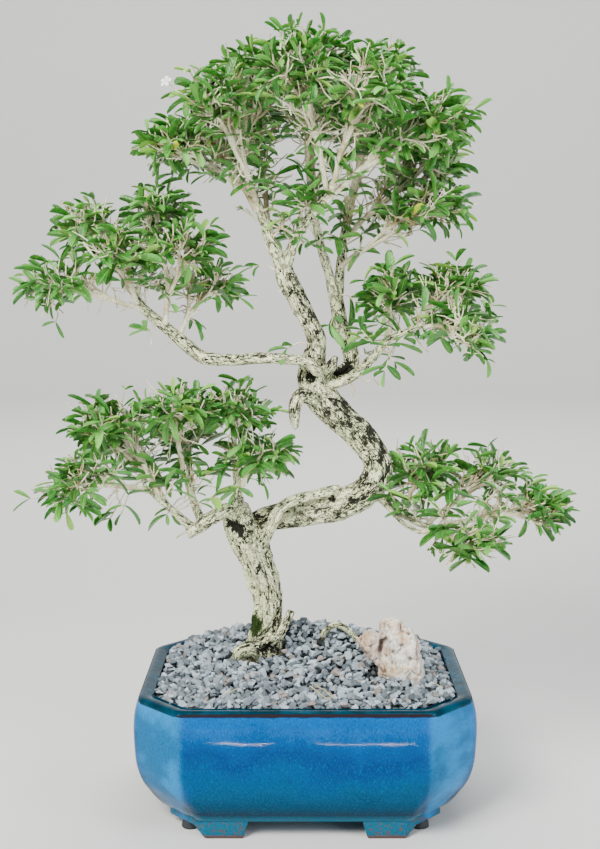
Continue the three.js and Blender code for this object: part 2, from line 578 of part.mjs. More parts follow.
function buildSprays() {
  takeTrunk();
  const sprays = Object.keys(SPRAYS).map(planSpray);
  const [open, closed] = [BLOOM, BUD].map((bloom) => {
    const spray = sprays.find(({ name }) => name === bloom.spray);
    addTwig(spray, TWIGS_A_SPRAY, new THREE.Vector3(...bloom.at));
    const twig = spray.twigs[0];
    twig.bare = true;
    const end = twig.tip.clone().addScaledVector(twig.grow, 6);
    take([{ a: twig.tip, b: end, radius: 4.6 }], bloom.name, bloom.name);
    return twig;
  });
  for (let i = 0; i < TWIGS_A_SPRAY; i += 1) sprays.forEach((spray) => addTwig(spray, i));
  sprays.forEach((spray) => spray.twigs.forEach((twig) => growTwig(spray, twig)));
  for (let i = 1; i < LEAVES_A_TWIG; i += 1) {
    sprays.forEach((spray) => {
      const leafy = spray.twigs.filter(({ bare }) => !bare);
      leafy.forEach((twig) => growSideLeaf(spray, twig, i - 1));
    });
  }
  sprays.forEach(({ name, parts }) => {
    const whole = parts.reduce((sum, piece) => sum.add(piece)).subtract(trunkRoom);
    addNode(name, largestBody(whole), leaves);
  });
  addNode(BLOOM.name, buildFlower(open.tip, open.grow), petals);
  addNode(BUD.name, buildBud(closed.tip, closed.grow), petals);
}

buildPot();
addNode('soil', potFilling([POT_INSIDE[0][0] + GAP, 43, 60, GRAVEL_BED - GAP]).subtract(trunkRoom), mix);
addNode('gravel', buildGravel(buildStone(2 * GAP)), chips);
addNode('stone', buildStone(0), rock);
addNode('trunk', largestBody(trunk), bark);
buildSprays();

export default group;
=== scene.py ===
import math
import random

import bmesh
import bpy
import numpy as np
from bpy.props import FloatProperty, FloatVectorProperty, IntProperty, PointerProperty
from mathutils import Color, Matrix, Quaternion, Vector, kdtree, noise
from mathutils.bvhtree import BVHTree


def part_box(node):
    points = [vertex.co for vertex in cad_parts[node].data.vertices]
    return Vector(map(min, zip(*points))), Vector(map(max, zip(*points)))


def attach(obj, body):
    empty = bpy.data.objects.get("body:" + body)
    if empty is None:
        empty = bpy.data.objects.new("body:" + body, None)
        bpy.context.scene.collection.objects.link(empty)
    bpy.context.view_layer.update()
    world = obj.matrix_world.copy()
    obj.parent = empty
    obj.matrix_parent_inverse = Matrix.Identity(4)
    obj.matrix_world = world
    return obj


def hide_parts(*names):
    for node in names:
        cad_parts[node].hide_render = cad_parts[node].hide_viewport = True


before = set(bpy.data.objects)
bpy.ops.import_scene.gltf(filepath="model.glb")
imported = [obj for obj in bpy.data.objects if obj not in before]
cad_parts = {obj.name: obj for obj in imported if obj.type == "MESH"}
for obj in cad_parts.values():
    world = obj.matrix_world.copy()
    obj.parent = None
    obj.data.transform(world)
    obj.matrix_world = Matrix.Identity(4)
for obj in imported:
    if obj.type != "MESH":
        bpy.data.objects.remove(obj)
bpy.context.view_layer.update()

bl_info = {
    "name": "Serissa Bonsai",
    "version": (1, 0, 0),
    "blender": (4, 5, 0),
    "location": "3D View > Sidebar > Bonsai",
    "description": "Dresses the solids of a potted serissa bonsai with bark, leaves, gravel and glaze",
    "category": "Object",
}

MM = 0.001
UP = Vector((0, 0, 1))
SPRAYS = sorted(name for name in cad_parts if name.startswith("spray_"))
FOOT_PADS = sorted(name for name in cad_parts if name.startswith("foot_pad_"))

# Heights of the pot's sections in mm. Their widths are measured on the solid pot.
POT_OUTSIDE_HEIGHTS = (14, 18, 25, 34, 46, 60, 76, 88, 97, 101.4)
POT_INSIDE_HEIGHTS = (24, 31, 43, 60, 80, 94, 99, 103)
# The highest section is measured just under the top of the solid's rim
BELOW_RIM = 102.99
# Drain holes in mm: distance from the middle, and radius
DRAIN_X, DRAIN_RADIUS = 52, 11

# The way that each limb of the trunk takes: x, y, z and radius in mm
LIMBS = {
    "trunk": [(-31, 22, 84, 17), (-33, 22, 100, 18), (-33, 22, 116, 15), (-31, 22, 136, 12),
              (-30, 22, 154, 11.8), (-33, 20, 171, 12.6), (-40, 16, 192, 14), (-46, 12, 208, 15.5),
              (-52, 9, 222, 14), (-53, 7, 237, 7.5)],
    "s_bend": [(-47, 14, 203, 7), (-39, 18, 218, 10), (-27, 18, 223, 11), (-4, 14, 229, 12),
               (24, 6, 236, 12.7), (45, -3, 247, 12), (56, -6, 261, 11.5), (56, -5, 274, 11.4),
               (48, -1, 287, 11.8), (34, 5, 301, 12), (17, 9, 317, 12.8), (7, 11, 332, 12.6),
               (6, 12, 346, 11), (8, 12, 359, 8.4)],
    "upper": [(7, 12, 344, 8.6), (9, 12, 365, 7.6), (3, 10, 381, 7.1), (-5, 8, 397, 7.8),
              (-13, 6, 413, 8.2), (-19, 4, 429, 6.6)],
    "brace": [(-34, 9, 203, 4), (-28, 1, 218, 5), (-19, -1, 235, 5), (-4, -2, 243, 4.5),
              (12, -4, 247.5, 4.2), (24, -5, 251, 4), (27, -6, 251.5, 3)],
    "second": [(16, 12, 336, 7), (31, 17, 341, 7.4), (37, 21, 350, 7.1), (34, 24, 364, 6.4),
               (28, 26, 380, 5.9), (25, 28, 398, 5.8)],
    "left": [(12, 4, 332, 5), (10, -3, 343, 4.8), (2, -6, 350, 4.7), (-12, -7, 353, 4.4),
             (-33, -8, 354, 4.4), (-58, -10, 353, 4.7), (-77, -12, 355, 5.2), (-88, -12, 362, 5.2),
             (-102, -11, 374, 4.5), (-114, -10, 384, 4.1), (-125, -8, 394, 3.6), (-134, -5, 408, 2.9)],
    "right": [(14, 8, 330, 4.6), (27, 2, 334, 4.2), (36, -1, 339, 4.1), (45, -4, 347, 4.1),
              (54, -7, 357, 3.6), (63, -10, 368, 3.3), (77, -14, 375, 2.6), (92, -18, 381, 2.2)],
    "old_stub": [(4, 5, 322, 6), (-4, 1, 324, 6), (-8, -1, 316, 5.2), (-8, -1, 306, 4.2),
                 (-7, -1, 298, 2)],
    "bar": [(-50, 8, 232, 8), (-63, 4, 232, 6.4), (-74, 0, 227, 5.6), (-85, -3, 220, 5.4),
            (-93, -4, 216, 5.2)],
    "top_left": [(-17, 4, 423, 6.4), (-26, 2, 442, 4.8), (-31, 0, 458, 4.2), (-38, -4, 476, 3.3),
                 (-48, -8, 490, 2.6)],
    "top_front": [(-16, 4, 423, 5.4), (-8, 0, 444, 4), (1, -6, 458, 3.8), (12, -12, 472, 3.4),
                  (22, -18, 486, 2.7)],
    "back_left": [(25, 28, 394, 5.2), (18, 26, 421, 3.8), (12, 24, 440, 3.6), (8, 21, 460, 3.3),
                  (5, 19, 484, 2.7)],
    "back_right": [(26, 29, 394, 5), (28, 33, 423, 3.8), (31, 39, 449, 3.4), (35, 44, 474, 2.8)],
    "low_up": [(-81, 0, 222, 3.8), (-88, 3, 240, 3.3), (-95, 0, 266, 2.7)],
    "low_left": [(-89, -3, 220, 3.6), (-108, -15, 241, 2.9), (-122, -21, 255, 2.5)],
    "low_centre": [(-53, 7, 232, 5.5), (-54, 8, 256, 3.4), (-56, 9, 274, 2.5)],
    "low_right": [(54, -4, 250, 4.2), (66, -6, 238, 3.4), (79, -9, 230, 3.1), (92, -11, 224, 2.8),
                  (107, -11, 221, 2.4)],
    "knot": [(14, 6, 338, 5), (20, 2, 347, 4.4), (24, 1, 355, 2.4)],
    "twin_right": [(60, -8, 246, 3), (72, -15, 230, 2.2), (85, -21, 222, 2.1), (92, -20, 220, 2)],
    "cut_root": [(-38, 15, 108, 6), (-30, 9, 122, 4.6), (-20, 8, 130, 4.2), (-15, 9, 140, 3.6),
                 (-11, 11, 149, 3.4)],
    "root_left": [(-36, 20, 112, 10), (-48, 12, 109, 7), (-58, 6, 101, 5), (-68, 2, 92, 3.5)],
    "root_knob": [(-37, 12, 114, 8), (-46, 5, 119, 6.6), (-54, 2, 117, 4.6), (-55, 0, 111, 3)],
    "root_arc": [(-20, 22, 104, 5), (0, 34, 106, 3.5), (12, 38, 115, 3), (19, 34, 127, 2.6),
                 (27, 31, 130.8, 2.8), (38, 31, 124, 2.4), (50, 31, 108, 2)],
}
# How much of each limb's bark is dark: old lichen and dirt between the plates
DARK = {"s_bend": 1.0, "upper": 0.85, "second": 0.6, "old_stub": 0.8, "left": 0.45, "brace": 0.3,
        "root_knob": 0.7, "cut_root": 0.6, "knot": 1.0}
# Hollows between the limbs, sunk and painted near black as shade: both ends of their middle line and the
# radius, in mm
HOLLOWS = (((-69, -3, 219.5), (-61, -4, 223.5), 4.2), ((-61, -4, 223.5), (-51, -5, 219), 4.8),
           ((-51, -5, 219), (-49, -6, 211), 3.4), ((31, 12, 347), (29, 10, 344), 7.5),
           ((6, 2, 341), (5, 1, 339), 5.5), ((-30, 5, 119), (-25, 4, 117), 5),
           ((-18, 1, 231.5), (21, -6, 244.5), 3))
# Middle of the moss on the foot, in mm
MOSS = (-42, 10, 136)
# Length in metres by which the bark's pattern is shifted from one limb to the next
PATTERN_SHIFT = 0.3

# Blocks that make up the stone: middle, size in mm, turn and lean in degrees
STONE_BLOCKS = (((76, -14, 121), (24, 24, 42), 8, -9), ((84, -15, 116), (16, 21, 40), -15, -12),
                ((64, -12, 131), (12, 18, 32), 12, 6), ((53, -15, 128), (17, 18, 21), 25, -32),
                ((71, -16, 110), (26, 22, 16), -10, 12), ((69, -13, 140), (15, 15, 18), 25, -8),
                ((61, -15, 117), (13, 17, 20), 0, -35), ((86, -13, 106), (11, 14, 16), 20, 0))
# Middle of the notch in the stone, which is sunk and painted dark brown as shade, in mm
STONE_HOLLOW = (61.5, -26, 134)

# Limbs with leafy side twigs of their own, and the share of the way from which they grow
BUSHY = {"top_left": 0.25, "top_front": 0.2, "back_left": 0.4, "back_right": 0.4, "left": 0.8,
         "low_up": 0.3, "low_left": 0.3, "low_centre": 0.3, "right": 0.6, "low_right": 0.4}
# Leafy twigs that stand alone on the limbs: start, end in mm
STRAYS = (((-20, 2, 420), (-40, -2, 424)), ((4, 6, 364), (-14, 0, 361)), ((34, 22, 366), (44, 14, 374)),
          ((40, 18, 352), (52, 8, 356)), ((26, 26, 390), (20, 18, 378)), ((27, 27, 402), (40, 20, 396)),
          ((58, -8, 361), (68, -15, 352)), ((-54, 8, 262), (-48, -4, 268)),
          ((-126, -20, 262), (-150, -24, 232)), ((-128, -20, 262), (-141, -26, 236)),
          ((-92, 0, 246), (-108, -10, 232)))
# Dead twigs, as points along each one in mm
DEAD_TWIGS = (((40, -3, 340), (47, -8, 336), (53, -9, 338), (58, -10, 332)),
              ((32, 2, 337), (38, -6, 331), (37, -8, 325)), ((-14, 6, 412), (-20, -2, 404)),
              ((6, -2, 352), (12, -6, 346)), ((-100, -12, 372), (-106, -18, 364)),
              ((84, -10, 228), (90, -14, 238), (89, -15, 246)), ((-94, -4, 217), (-101, -8, 213)),
              ((112, -12, 214), (107, -18, 203), (105, -19, 197)),
              ((146, -12, 216), (152, -18, 206), (157, -18, 201)))
# Curl, fold and sideways sweep of each kind of leaf, as shares of its length
LEAF_SHAPES = ((0.02, 0.25, 0.0), (0.1, 0.35, 0.04), (0.2, 0.3, -0.05), (0.32, 0.25, 0.03),
               (-0.06, 0.4, -0.03), (0.14, 0.15, 0.07))
# Dry stalks on the gravel: x and y of both ends, in mm
STALKS = (((4, -44), (17, -74)), ((7, -40), (21, -70)), ((-60, -58), (-52, -50)),
          ((98, -30), (106, -40)))

# Distance in metres from the middle of the pot at which rays start, inwards or downwards
RAY_START = 0.3
# Height in metres of the lowest gravel that carries chips
LOWEST_CHIP = 0.092
# Half width and half depth in metres at which the pot's flat walls end at the cut corners
FACET_X, FACET_Y = 0.0905, 0.060


def linear(hex_colour):
    """An sRGB hex colour as linear red, green, blue and alpha."""
    parts = [int(hex_colour[i:i + 2], 16) / 255 for i in (1, 3, 5)]
    return tuple(c / 12.92 if c <= 0.04045 else ((c + 0.055) / 1.055) ** 2.4 for c in parts) + (1.0,)


def clamp(value, low=0.0, high=1.0):
    """The value, held between low and high."""
    return max(low, min(high, value))


def per_mm(size):
    """The scale of a pattern on object coordinates whose cells are that many mm wide."""
    return 1 / (size * MM)


def colour_property(name, description, hex_colour):
    return FloatVectorProperty(name=name, description=description, subtype="COLOR", size=3,
                               min=0, max=1, default=linear(hex_colour)[:3])


def length_property(name, description, default):
    return FloatProperty(name=name, description=description, default=default * MM, min=0, unit="LENGTH",
                         precision=4)


class BonsaiPot(bpy.types.PropertyGroup):
    """Sizes and colours of the glazed pot."""
    corner: length_property("Corner round", "Width of the rounding along the upright corners", 4.5)
    rim: length_property("Rim round", "How far the lip falls towards the inner wall", 2.4)
    deep: colour_property("Deep glaze", "Glaze where it lies thick, half way up the walls", "#003468")
    bright: colour_property("Bright glaze", "Glaze on the upper wall and the cut corners", "#005090")
    pale: colour_property("Pale glaze", "Glaze where it has run down over the base", "#0f5a72")
    liner: colour_property("Liner glaze", "Dark teal glaze of the lip and the inside", "#022838")


class BonsaiGravel(bpy.types.PropertyGroup):
    """Sizes and colours of the crushed gravel."""
    chip: length_property("Chip size", "Mean length of a chip", 6.1)
    pitch: length_property("Pitch", "Distance between neighbouring chips", 4.8)
    # The dark chip colour is painted shade: the sunk lower layer of chips takes the tones near it, so the
    # gaps between the upper chips look dark.
    dark: colour_property("Dark chip", "Darkest chips", "#14191d")
    light: colour_property("Light chip", "Lightest chips", "#bfc9d0")


class BonsaiBark(bpy.types.PropertyGroup):
    """Grain and colours of the trunk and the twigs."""
    voxel: length_property("Grain", "Size of the finest relief that the bark's mesh holds", 1.0)
    relief: length_property("Relief", "Depth of the fissures between plates of bark", 1.0)
    cream: colour_property("Cream bark", "Outer face of the bark plates", "#f9fbcd")
    # The fissure colour is also painted shade: it fills the trunk's hollows near black.
    fissure: colour_property("Fissure", "Bottom of the fissures, with old lichen and dirt", "#040503")
    twig: colour_property("Twig", "Smooth bark of the fine twigs", "#f2edcc")


class BonsaiFoliage(bpy.types.PropertyGroup):
    """Number, sizes and colours of the shoots and leaves."""
    shoots: IntProperty(name="Shoots", description="Leafy shoots in each spray", default=21, min=1)
    leaf: length_property("Leaf length", "Length of a full-grown leaf", 22)
    width: FloatProperty(name="Leaf width", description="Width as a share of the length", default=0.26,
                         min=0.05, max=1)
    tip: length_property("Twig radius", "Radius of the finest twigs", 0.58)
    dark: colour_property("Old leaf", "Old leaves deep in the pads", "#123a0a")
    green: colour_property("Leaf", "Full-grown leaves", "#2e7c2c")
    young: colour_property("Young leaf", "Young leaves at the ends of the shoots", "#72bc52")


class BonsaiStage(bpy.types.PropertyGroup):
    """Floor and light."""
    floor: colour_property("Floor", "Plain pale floor", "#d9d9d6")
    key: FloatProperty(name="Key light", description="Power of the main soft light", default=80,
                       unit="POWER")
    fill: FloatProperty(name="Fill light", description="Power of the light on the other side", default=24,
                        unit="POWER")


def paint(value):
    """A hex colour or a property's colour as linear red, green, blue and alpha; else the value itself."""
    if isinstance(value, str):
        return linear(value)
    return (*value, 1.0) if isinstance(value, Color) else value


def add(tree, kind, inputs=(), stops=(), **settings):
    """Add a shader node. An input is a value or the output that feeds it; stops are a ramp's colours."""
    node = tree.nodes.new("ShaderNode" + kind)
    for key, value in settings.items():
        setattr(node, key, value)
    for key, value in dict(inputs).items():
        if isinstance(value, bpy.types.NodeSocket):
            tree.links.new(value, node.inputs[key])
        else:
            node.inputs[key].default_value = paint(value)
    for i, (position, colour) in enumerate(stops):
        element = node.color_ramp.elements[i] if i < 2 else node.color_ramp.elements.new(position)
        element.position = position
        element.color = paint(colour)
    return node


def new_material(name):
    """A material with only its output, its tree and its object coordinates."""
    material = bpy.data.materials.new(name)
    material.use_nodes = True
    tree = material.node_tree
    tree.nodes.clear()
    return material, tree, add(tree, "TexCoord").outputs["Object"]


def close(tree, colour, roughness, height=None, depth=0.0, **inputs):
    """The Principled shader that a material ends in, with relief from a height and a depth in mm."""
    named = {key.replace("_", " "): value for key, value in inputs.items()}
    if height:
        relief = {"Height": height, "Strength": 1.0, "Distance": depth * MM}
        named["Normal"] = add(tree, "Bump", relief).outputs["Normal"]
    shader = add(tree, "BsdfPrincipled", {"Base Color": colour, "Roughness": roughness, **named})
    add(tree, "OutputMaterial", {"Surface": shader.outputs["BSDF"]})


def attribute(tree, name, output="Fac"):
    """A number or, as Vector, a place that the mesh stores at each vertex."""
    return add(tree, "Attribute", attribute_name=name).outputs[output]


def grain(tree, vector, size, stretch=(1, 1, 1), detail=3.0, roughness=0.55):
    """Noise with cells of that size in mm, squeezed along the axes by stretch."""
    moved = add(tree, "Mapping", {"Vector": vector, "Scale": stretch})
    return add(tree, "TexNoise", {"Vector": moved.outputs["Vector"], "Scale": per_mm(size), "Detail": detail,
                                  "Roughness": roughness}).outputs["Fac"]


def span(tree, value, low, high):
    """A value's place between low and high, smoothed and held at the ends."""
    return add(tree, "MapRange", {"Value": value, "From Min": low, "From Max": high},
               interpolation_type="SMOOTHSTEP").outputs["Result"]


def math_of(tree, operation, *values):
    return add(tree, "Math", dict(enumerate(values)), operation=operation).outputs["Value"]


def times(tree, value, factor, offset=0.0):
    """A value times a factor, plus an offset."""
    return math_of(tree, "MULTIPLY_ADD", value, factor, offset)


def apart(tree, value, middle):
    """How far a value lies from a middle, either way."""
    return math_of(tree, "ABSOLUTE", math_of(tree, "SUBTRACT", value, middle))


def mix(tree, factor, one, two, blend_type="MIX"):
    """One colour at factor 0, the other at 1."""
    return add(tree, "Mix", {"Factor": factor, 6: one, 7: two}, data_type="RGBA",
               blend_type=blend_type).outputs[2]


def tint(tree, base, where, share, colour):
    """The base with a share of another colour over it where the mask is light."""
    return mix(tree, times(tree, where, share), base, colour)


def ramp(tree, value, *stops):
    """The colour at a value between stops, each a position and a colour."""
    return add(tree, "ValToRGB", {"Fac": value}, stops).outputs["Color"]


def glaze_material(pot):
    """Runny stoneware glaze: fine upright streaks, deep blue where thick, turquoise where it has run."""
    material, tree, place = new_material("Runny_blue_stoneware_glaze")
    parts = add(tree, "SeparateXYZ", {"Vector": place}).outputs
    width, depth = (math_of(tree, "ABSOLUTE", parts[axis]) for axis in "XY")
    height = parts["Z"]
    streaks = grain(tree, place, 0.75, (1, 1, 0.4), 3, 0.6)
    runs = grain(tree, place, 9, (1, 1, 0.12), 3)
    clouds = grain(tree, place, 42, (1, 1, 1.4), 3)
    lean = times(tree, runs, 0.016, times(tree, clouds, 0.05, -0.033))
    level = times(tree, lean, span(tree, height, 0.022, 0.045), height)
    share = add(tree, "MapRange", {"Value": level, "From Min": 0.0, "From Max": 0.103}).outputs["Result"]
    wall = ramp(tree, share, (0.0, pot.pale), (0.15, pot.pale), (0.2, "#0a2836"), (0.27, "#053c56"),
                (0.4, "#04466a"), (0.52, "#024272"), (0.64, pot.deep), (0.78, "#00427c"),
                (0.92, pot.bright), (1.0, pot.bright))
    corner = times(tree, span(tree, width, 0.088, 0.094), span(tree, depth, 0.056, 0.064))
    facet = mix(tree, span(tree, clouds, 0.38, 0.6), "#006092", "#0084c4")
    wall = tint(tree, wall, corner, 0.85, facet)
    near_x = span(tree, apart(tree, width, FACET_X), 0.009, 0.0)
    near_y = span(tree, apart(tree, depth, FACET_Y), 0.008, 0.0)
    edge = times(tree, math_of(tree, "MAXIMUM", near_x, near_y), span(tree, clouds, 0.35, 0.6))
    wall = tint(tree, wall, edge, 0.25, "#2a58a0")
    wall = tint(tree, wall, span(tree, streaks, 0.52, 0.66), 0.3, "#0c74b0")
    wall = tint(tree, wall, span(tree, streaks, 0.48, 0.34), 0.4, "#002c58")
    ragged = times(tree, runs, 0.0016, height)
    rim = span(tree, ragged, 0.0998, 0.1006)
    foot = times(tree, span(tree, height, 0.0145, 0.011),
                 span(tree, grain(tree, place, 2.6, detail=4), 0.53, 0.63))
    clay = math_of(tree, "MAXIMUM", span(tree, ragged, 0.0042, 0.0028), foot)
    colour = tint(tree, tint(tree, wall, clay, 0.9, "#5a4038"), rim, 0.97, "#241a18")
    close(tree, colour, 0.05, times(tree, streaks, 0.25, times(tree, clouds, 3.0)), 0.1,
          IOR=1.4, Specular_IOR_Level=0.12)
    return material


def liner_material(pot):
    """Dark teal glaze: a deep gloss on the lip and the inner wall, thinner and browner in spots."""
    material, tree, place = new_material("Dark_teal_liner_glaze")
    clouds = grain(tree, place, 14, (1, 1, 0.6), 4)
    colour = mix(tree, span(tree, clouds, 0.4, 0.7), pot.liner, "#053d52")
    colour = mix(tree, span(tree, grain(tree, place, 2.2), 0.66, 0.74), colour, "#2c3a38")
    close(tree, colour, 0.1, clouds, 0.3, IOR=1.4, Specular_IOR_Level=0.2)
    return material


def rubber_material():
    """Moulded black rubber: dull, with a fine matt grain."""
    material, tree, place = new_material("Moulded_black_rubber")
    tone = grain(tree, place, 0.8)
    close(tree, mix(tree, tone, "#14171a", "#2b3034"), 0.62, tone, 0.1, IOR=1.52)
    return material


def soil_material():
    """Damp potting mix: near black crumbs with a few pale grains of pumice."""
    material, tree, place = new_material("Damp_potting_mix")
    crumbs = grain(tree, place, 2.5, detail=6)
    colour = mix(tree, span(tree, crumbs, 0.4, 0.65), "#161412", "#3d342b")
    colour = mix(tree, span(tree, grain(tree, place, 1.7), 0.7, 0.74), colour, "#cfc8b8")
    close(tree, colour, 0.9, crumbs, 1.5)
    return material


def gravel_material(gravel):
    """Crushed basalt: each chip has its own grey, a few are brown or pinkish, all with fine grains; the chips
    of the lower layer take the darkest greys as painted shade between the upper chips.
    """
    material, tree, place = new_material("Crushed_basalt_gravel")
    # Tones up to 0.2 are the lower layer's painted shade; higher tones are the chips' own greys, browns and
    # pinks.
    chip = ramp(tree, attribute(tree, "tone"), (0.0, gravel.dark), (0.3, "#5c666c"), (0.6, "#8a959c"),
                (0.92, gravel.light), (0.94, "#a39793"), (0.97, "#8d8378"), (1.0, "#c3cdd4"))
    speckle = grain(tree, place, 0.7, detail=5)
    colour = mix(tree, 0.55, chip, ramp(tree, speckle, (0.3, "#707478"), (0.7, "#c6c9cb")), "OVERLAY")
    close(tree, colour, 0.82, speckle, 0.35)
    return material


def rock_material():
    """Weathered calcite rock: cream with tan and pink stains, hollows painted dark brown as shade, and one
    rusty vein.
    """
    material, tree, place = new_material("Weathered_pink_calcite_rock")
    clouds = grain(tree, place, 13, detail=5)
    fine = grain(tree, place, 1.3, (1, 1, 0.3), 6, 0.7)
    across = add(tree, "SeparateXYZ", {"Vector": place}).outputs["X"]
    vein = math_of(tree, "ADD", across, times(tree, grain(tree, place, 8, detail=4), 0.012))
    stained = times(tree, clouds, 0.016, across)
    colour = mix(tree, span(tree, clouds, 0.48, 0.68), "#f6f1e4", "#e0bd92")
    for where, share, stain in (
            (span(tree, grain(tree, place, 6, detail=4), 0.58, 0.72), 0.5, "#cc9c7c"),
            (span(tree, fine, 0.54, 0.36), 0.6, "#77695f"),
            (span(tree, apart(tree, vein, 0.0935), 0.0018, 0.0004), 0.5, "#a8683f"),
            (span(tree, stained, 0.074, 0.066), 0.5, "#a5806c"),
            # Painted shade: the cracks, low places and the notch of the stone are darkened to brown.
            (attribute(tree, "hollow"), 0.85, "#4a2e26")):
        colour = tint(tree, colour, where, share, stain)
    close(tree, colour, 0.8, fine, 0.8)
    return material


def bark_material(bark):
    """Old serissa bark: cream plates over dark fissures, hollows painted near black as shade, browner at the
    gravel, with moss at the foot.
    """
    material, tree, place = new_material("Old_flaking_cream_bark")
    plate, moss, dark = (attribute(tree, name) for name in ("plate", "moss", "dark"))
    straight = attribute(tree, "straight", "Vector")
    fine = grain(tree, straight, 0.9, (1, 1, 0.6), 6, 0.7)
    coarse = times(tree, grain(tree, straight, 1.3, (1, 1, 0.4), 5, 0.7), 1.3, -0.65)
    mottle = grain(tree, straight, 4.5, (1, 1, 0.4), 5, 0.65)
    patches = grain(tree, place, 16, detail=4)
    level = times(tree, patches, 0.012, add(tree, "SeparateXYZ", {"Vector": place}).outputs["Z"])
    light = mix(tree, span(tree, patches, 0.4, 0.62), bark.cream, "#dfe7b5")
    light = tint(tree, light, span(tree, mottle, 0.5, 0.38), 0.3, "#a6ab86")
    light = tint(tree, light, span(tree, fine, 0.5, 0.38), 0.28, "#6c6f4e")
    light = tint(tree, light, span(tree, level, 0.128, 0.112), 0.6, "#857a58")
    seam = span(tree, times(tree, dark, -0.02, apart(tree, mottle, 0.5)), 0.026, 0.006)
    height = math_of(tree, "ADD", plate, math_of(tree, "ADD", fine, coarse))
    height = math_of(tree, "SUBTRACT", height, 0.5)
    crack = span(tree, times(tree, dark, -0.16, height), 0.36, 0.29)
    crack = math_of(tree, "MAXIMUM", crack, times(tree, seam, 0.85))
    # The cracks take in the hollows too, so there the fissure colour is painted shade.
    colour = tint(tree, light, crack, 0.985, bark.fissure)
    green = mix(tree, span(tree, fine, 0.4, 0.6), "#0a1404", "#2f470e")
    tufts = math_of(tree, "ADD", moss, math_of(tree, "ADD", fine, coarse))
    colour = mix(tree, span(tree, tufts, 0.98, 1.1), colour, green)
    close(tree, colour, 0.85, times(tree, seam, -0.4, height), 0.6, Specular_IOR_Level=0.25)
    return material


def twig_material(bark):
    """Young serissa wood: smooth cream bark with short grey scars."""
    material, tree, place = new_material("Smooth_cream_twig_bark")
    fine = grain(tree, place, 1.2, detail=5, roughness=0.65)
    colour = mix(tree, span(tree, grain(tree, place, 18, detail=3), 0.4, 0.65), bark.twig, "#b3a47a")
    colour = tint(tree, colour, span(tree, fine, 0.47, 0.36), 0.6, "#5a5840")
    close(tree, colour, 0.7, fine, 0.25)
    return material


def leaf_material(foliage):
    """Serissa leaf: a waxy green blade with a paler midrib; the tone is each leaf's age."""
    material, tree, place = new_material("Waxy_serissa_leaf")
    across, along = (add(tree, "SeparateXYZ", {"Vector": add(tree, "UVMap", uv_map="blade").outputs["UV"]})
                     .outputs[axis] for axis in "XY")
    blade = ramp(tree, attribute(tree, "tone"), (0.0, foliage.dark), (0.35, "#23621a"),
                 (0.62, foliage.green), (0.9, foliage.young), (0.97, "#b4cf58"), (0.985, "#d9e63c"),
                 (1.0, "#e3ee4a"))
    offset = apart(tree, across, 0.5)
    rib = span(tree, offset, 0.07, 0.015)
    slanted = math_of(tree, "SUBTRACT", along, times(tree, offset, 0.5))
    way = add(tree, "CombineXYZ", {"X": slanted}).outputs["Vector"]
    veins = add(tree, "TexWave", {"Vector": way, "Scale": 2.4, "Distortion": 0.6}).outputs["Fac"]
    colour = tint(tree, blade, rib, 0.45, "#a9cf72")
    colour = tint(tree, colour, veins, 0.1, "#123f12")
    colour = tint(tree, colour, span(tree, grain(tree, place, 5), 0.4, 0.7), 0.22, "#9cc25a")
    close(tree, colour, 0.32, math_of(tree, "SUBTRACT", veins, rib), 0.15, IOR=1.45,
          Subsurface_Weight=0.12, Subsurface_Radius=(0.3, 1.0, 0.2), Subsurface_Scale=0.0015)
    return material


def petal_material():
    """Serissa petal: thin matt white, faintly green in places."""
    material, tree, place = new_material("Thin_white_petal")
    clouds = grain(tree, place, 1.2)
    close(tree, mix(tree, clouds, "#ffffff", "#e4ead8"), 0.55, clouds, 0.1, Subsurface_Weight=0.3,
          Subsurface_Radius=(1.0, 1.0, 0.9), Subsurface_Scale=0.001)
    return material


def straw_material():
    """Dry grass stalk: pale straw with darker spots."""
    material, tree, place = new_material("Dry_straw")
    fine = grain(tree, place, 0.9)
    close(tree, mix(tree, fine, "#8d7f55", "#d8cfa4"), 0.7, fine, 0.1)
    return material


def floor_material(stage):
    """Matt painted board: a plain pale face with a barely visible grain."""
    material, tree, place = new_material("Matt_painted_board")
    tone = grain(tree, place, 60, detail=2)
    close(tree, tint(tree, stage.floor, tone, 0.06, "#bfbfbc"), 0.85)
    return material


def linked(name, data):
    """A new object in the scene, at the origin."""
    made = bpy.data.objects.new(name, data)
    bpy.context.scene.collection.objects.link(made)
    return made


def new_piece(name, mesh, materials, slot, *replaced):
    """An object at the origin that moves with the root body and takes the given materials; the parts that it
    replaces are hidden.
    """
    mesh.name = name
    for material in materials:
        mesh.materials.append(material)
    piece = linked(name, mesh)
    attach(piece, "root")
    if replaced:
        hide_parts(*replaced)


def mesh_from(bm, name, smooth=True):
    """The finished mesh of a bmesh, which is freed."""
    mesh = bpy.data.meshes.new(name)
    for face in bm.faces:
        face.smooth = smooth
    bm.to_mesh(mesh)
    bm.free()
    return mesh


def baked(carrier):
    """The finished mesh of an object, which is removed."""
    seen = carrier.evaluated_get(bpy.context.evaluated_depsgraph_get())
    mesh = bpy.data.meshes.new_from_object(seen)
    bpy.data.objects.remove(carrier)
    return mesh


def modified(mesh, kind, **settings):
    """The mesh after one modifier."""
    carrier = linked("carrier", mesh)
    modifier = carrier.modifiers.new("shape", kind)
    for key, value in settings.items():
        setattr(modifier, key, value)
    return baked(carrier)


def remeshed(mesh, voxel):
    """A bmesh of the forms in a mesh, run together on an even grid and smoothed."""
    bm = bmesh.new()
    bm.from_mesh(modified(mesh, "REMESH", mode="VOXEL", voxel_size=voxel))
    for _ in range(2):
        bmesh.ops.smooth_vert(bm, verts=bm.verts, factor=0.5, use_axis_x=True, use_axis_y=True,
                              use_axis_z=True)
    bm.normal_update()
    return bm


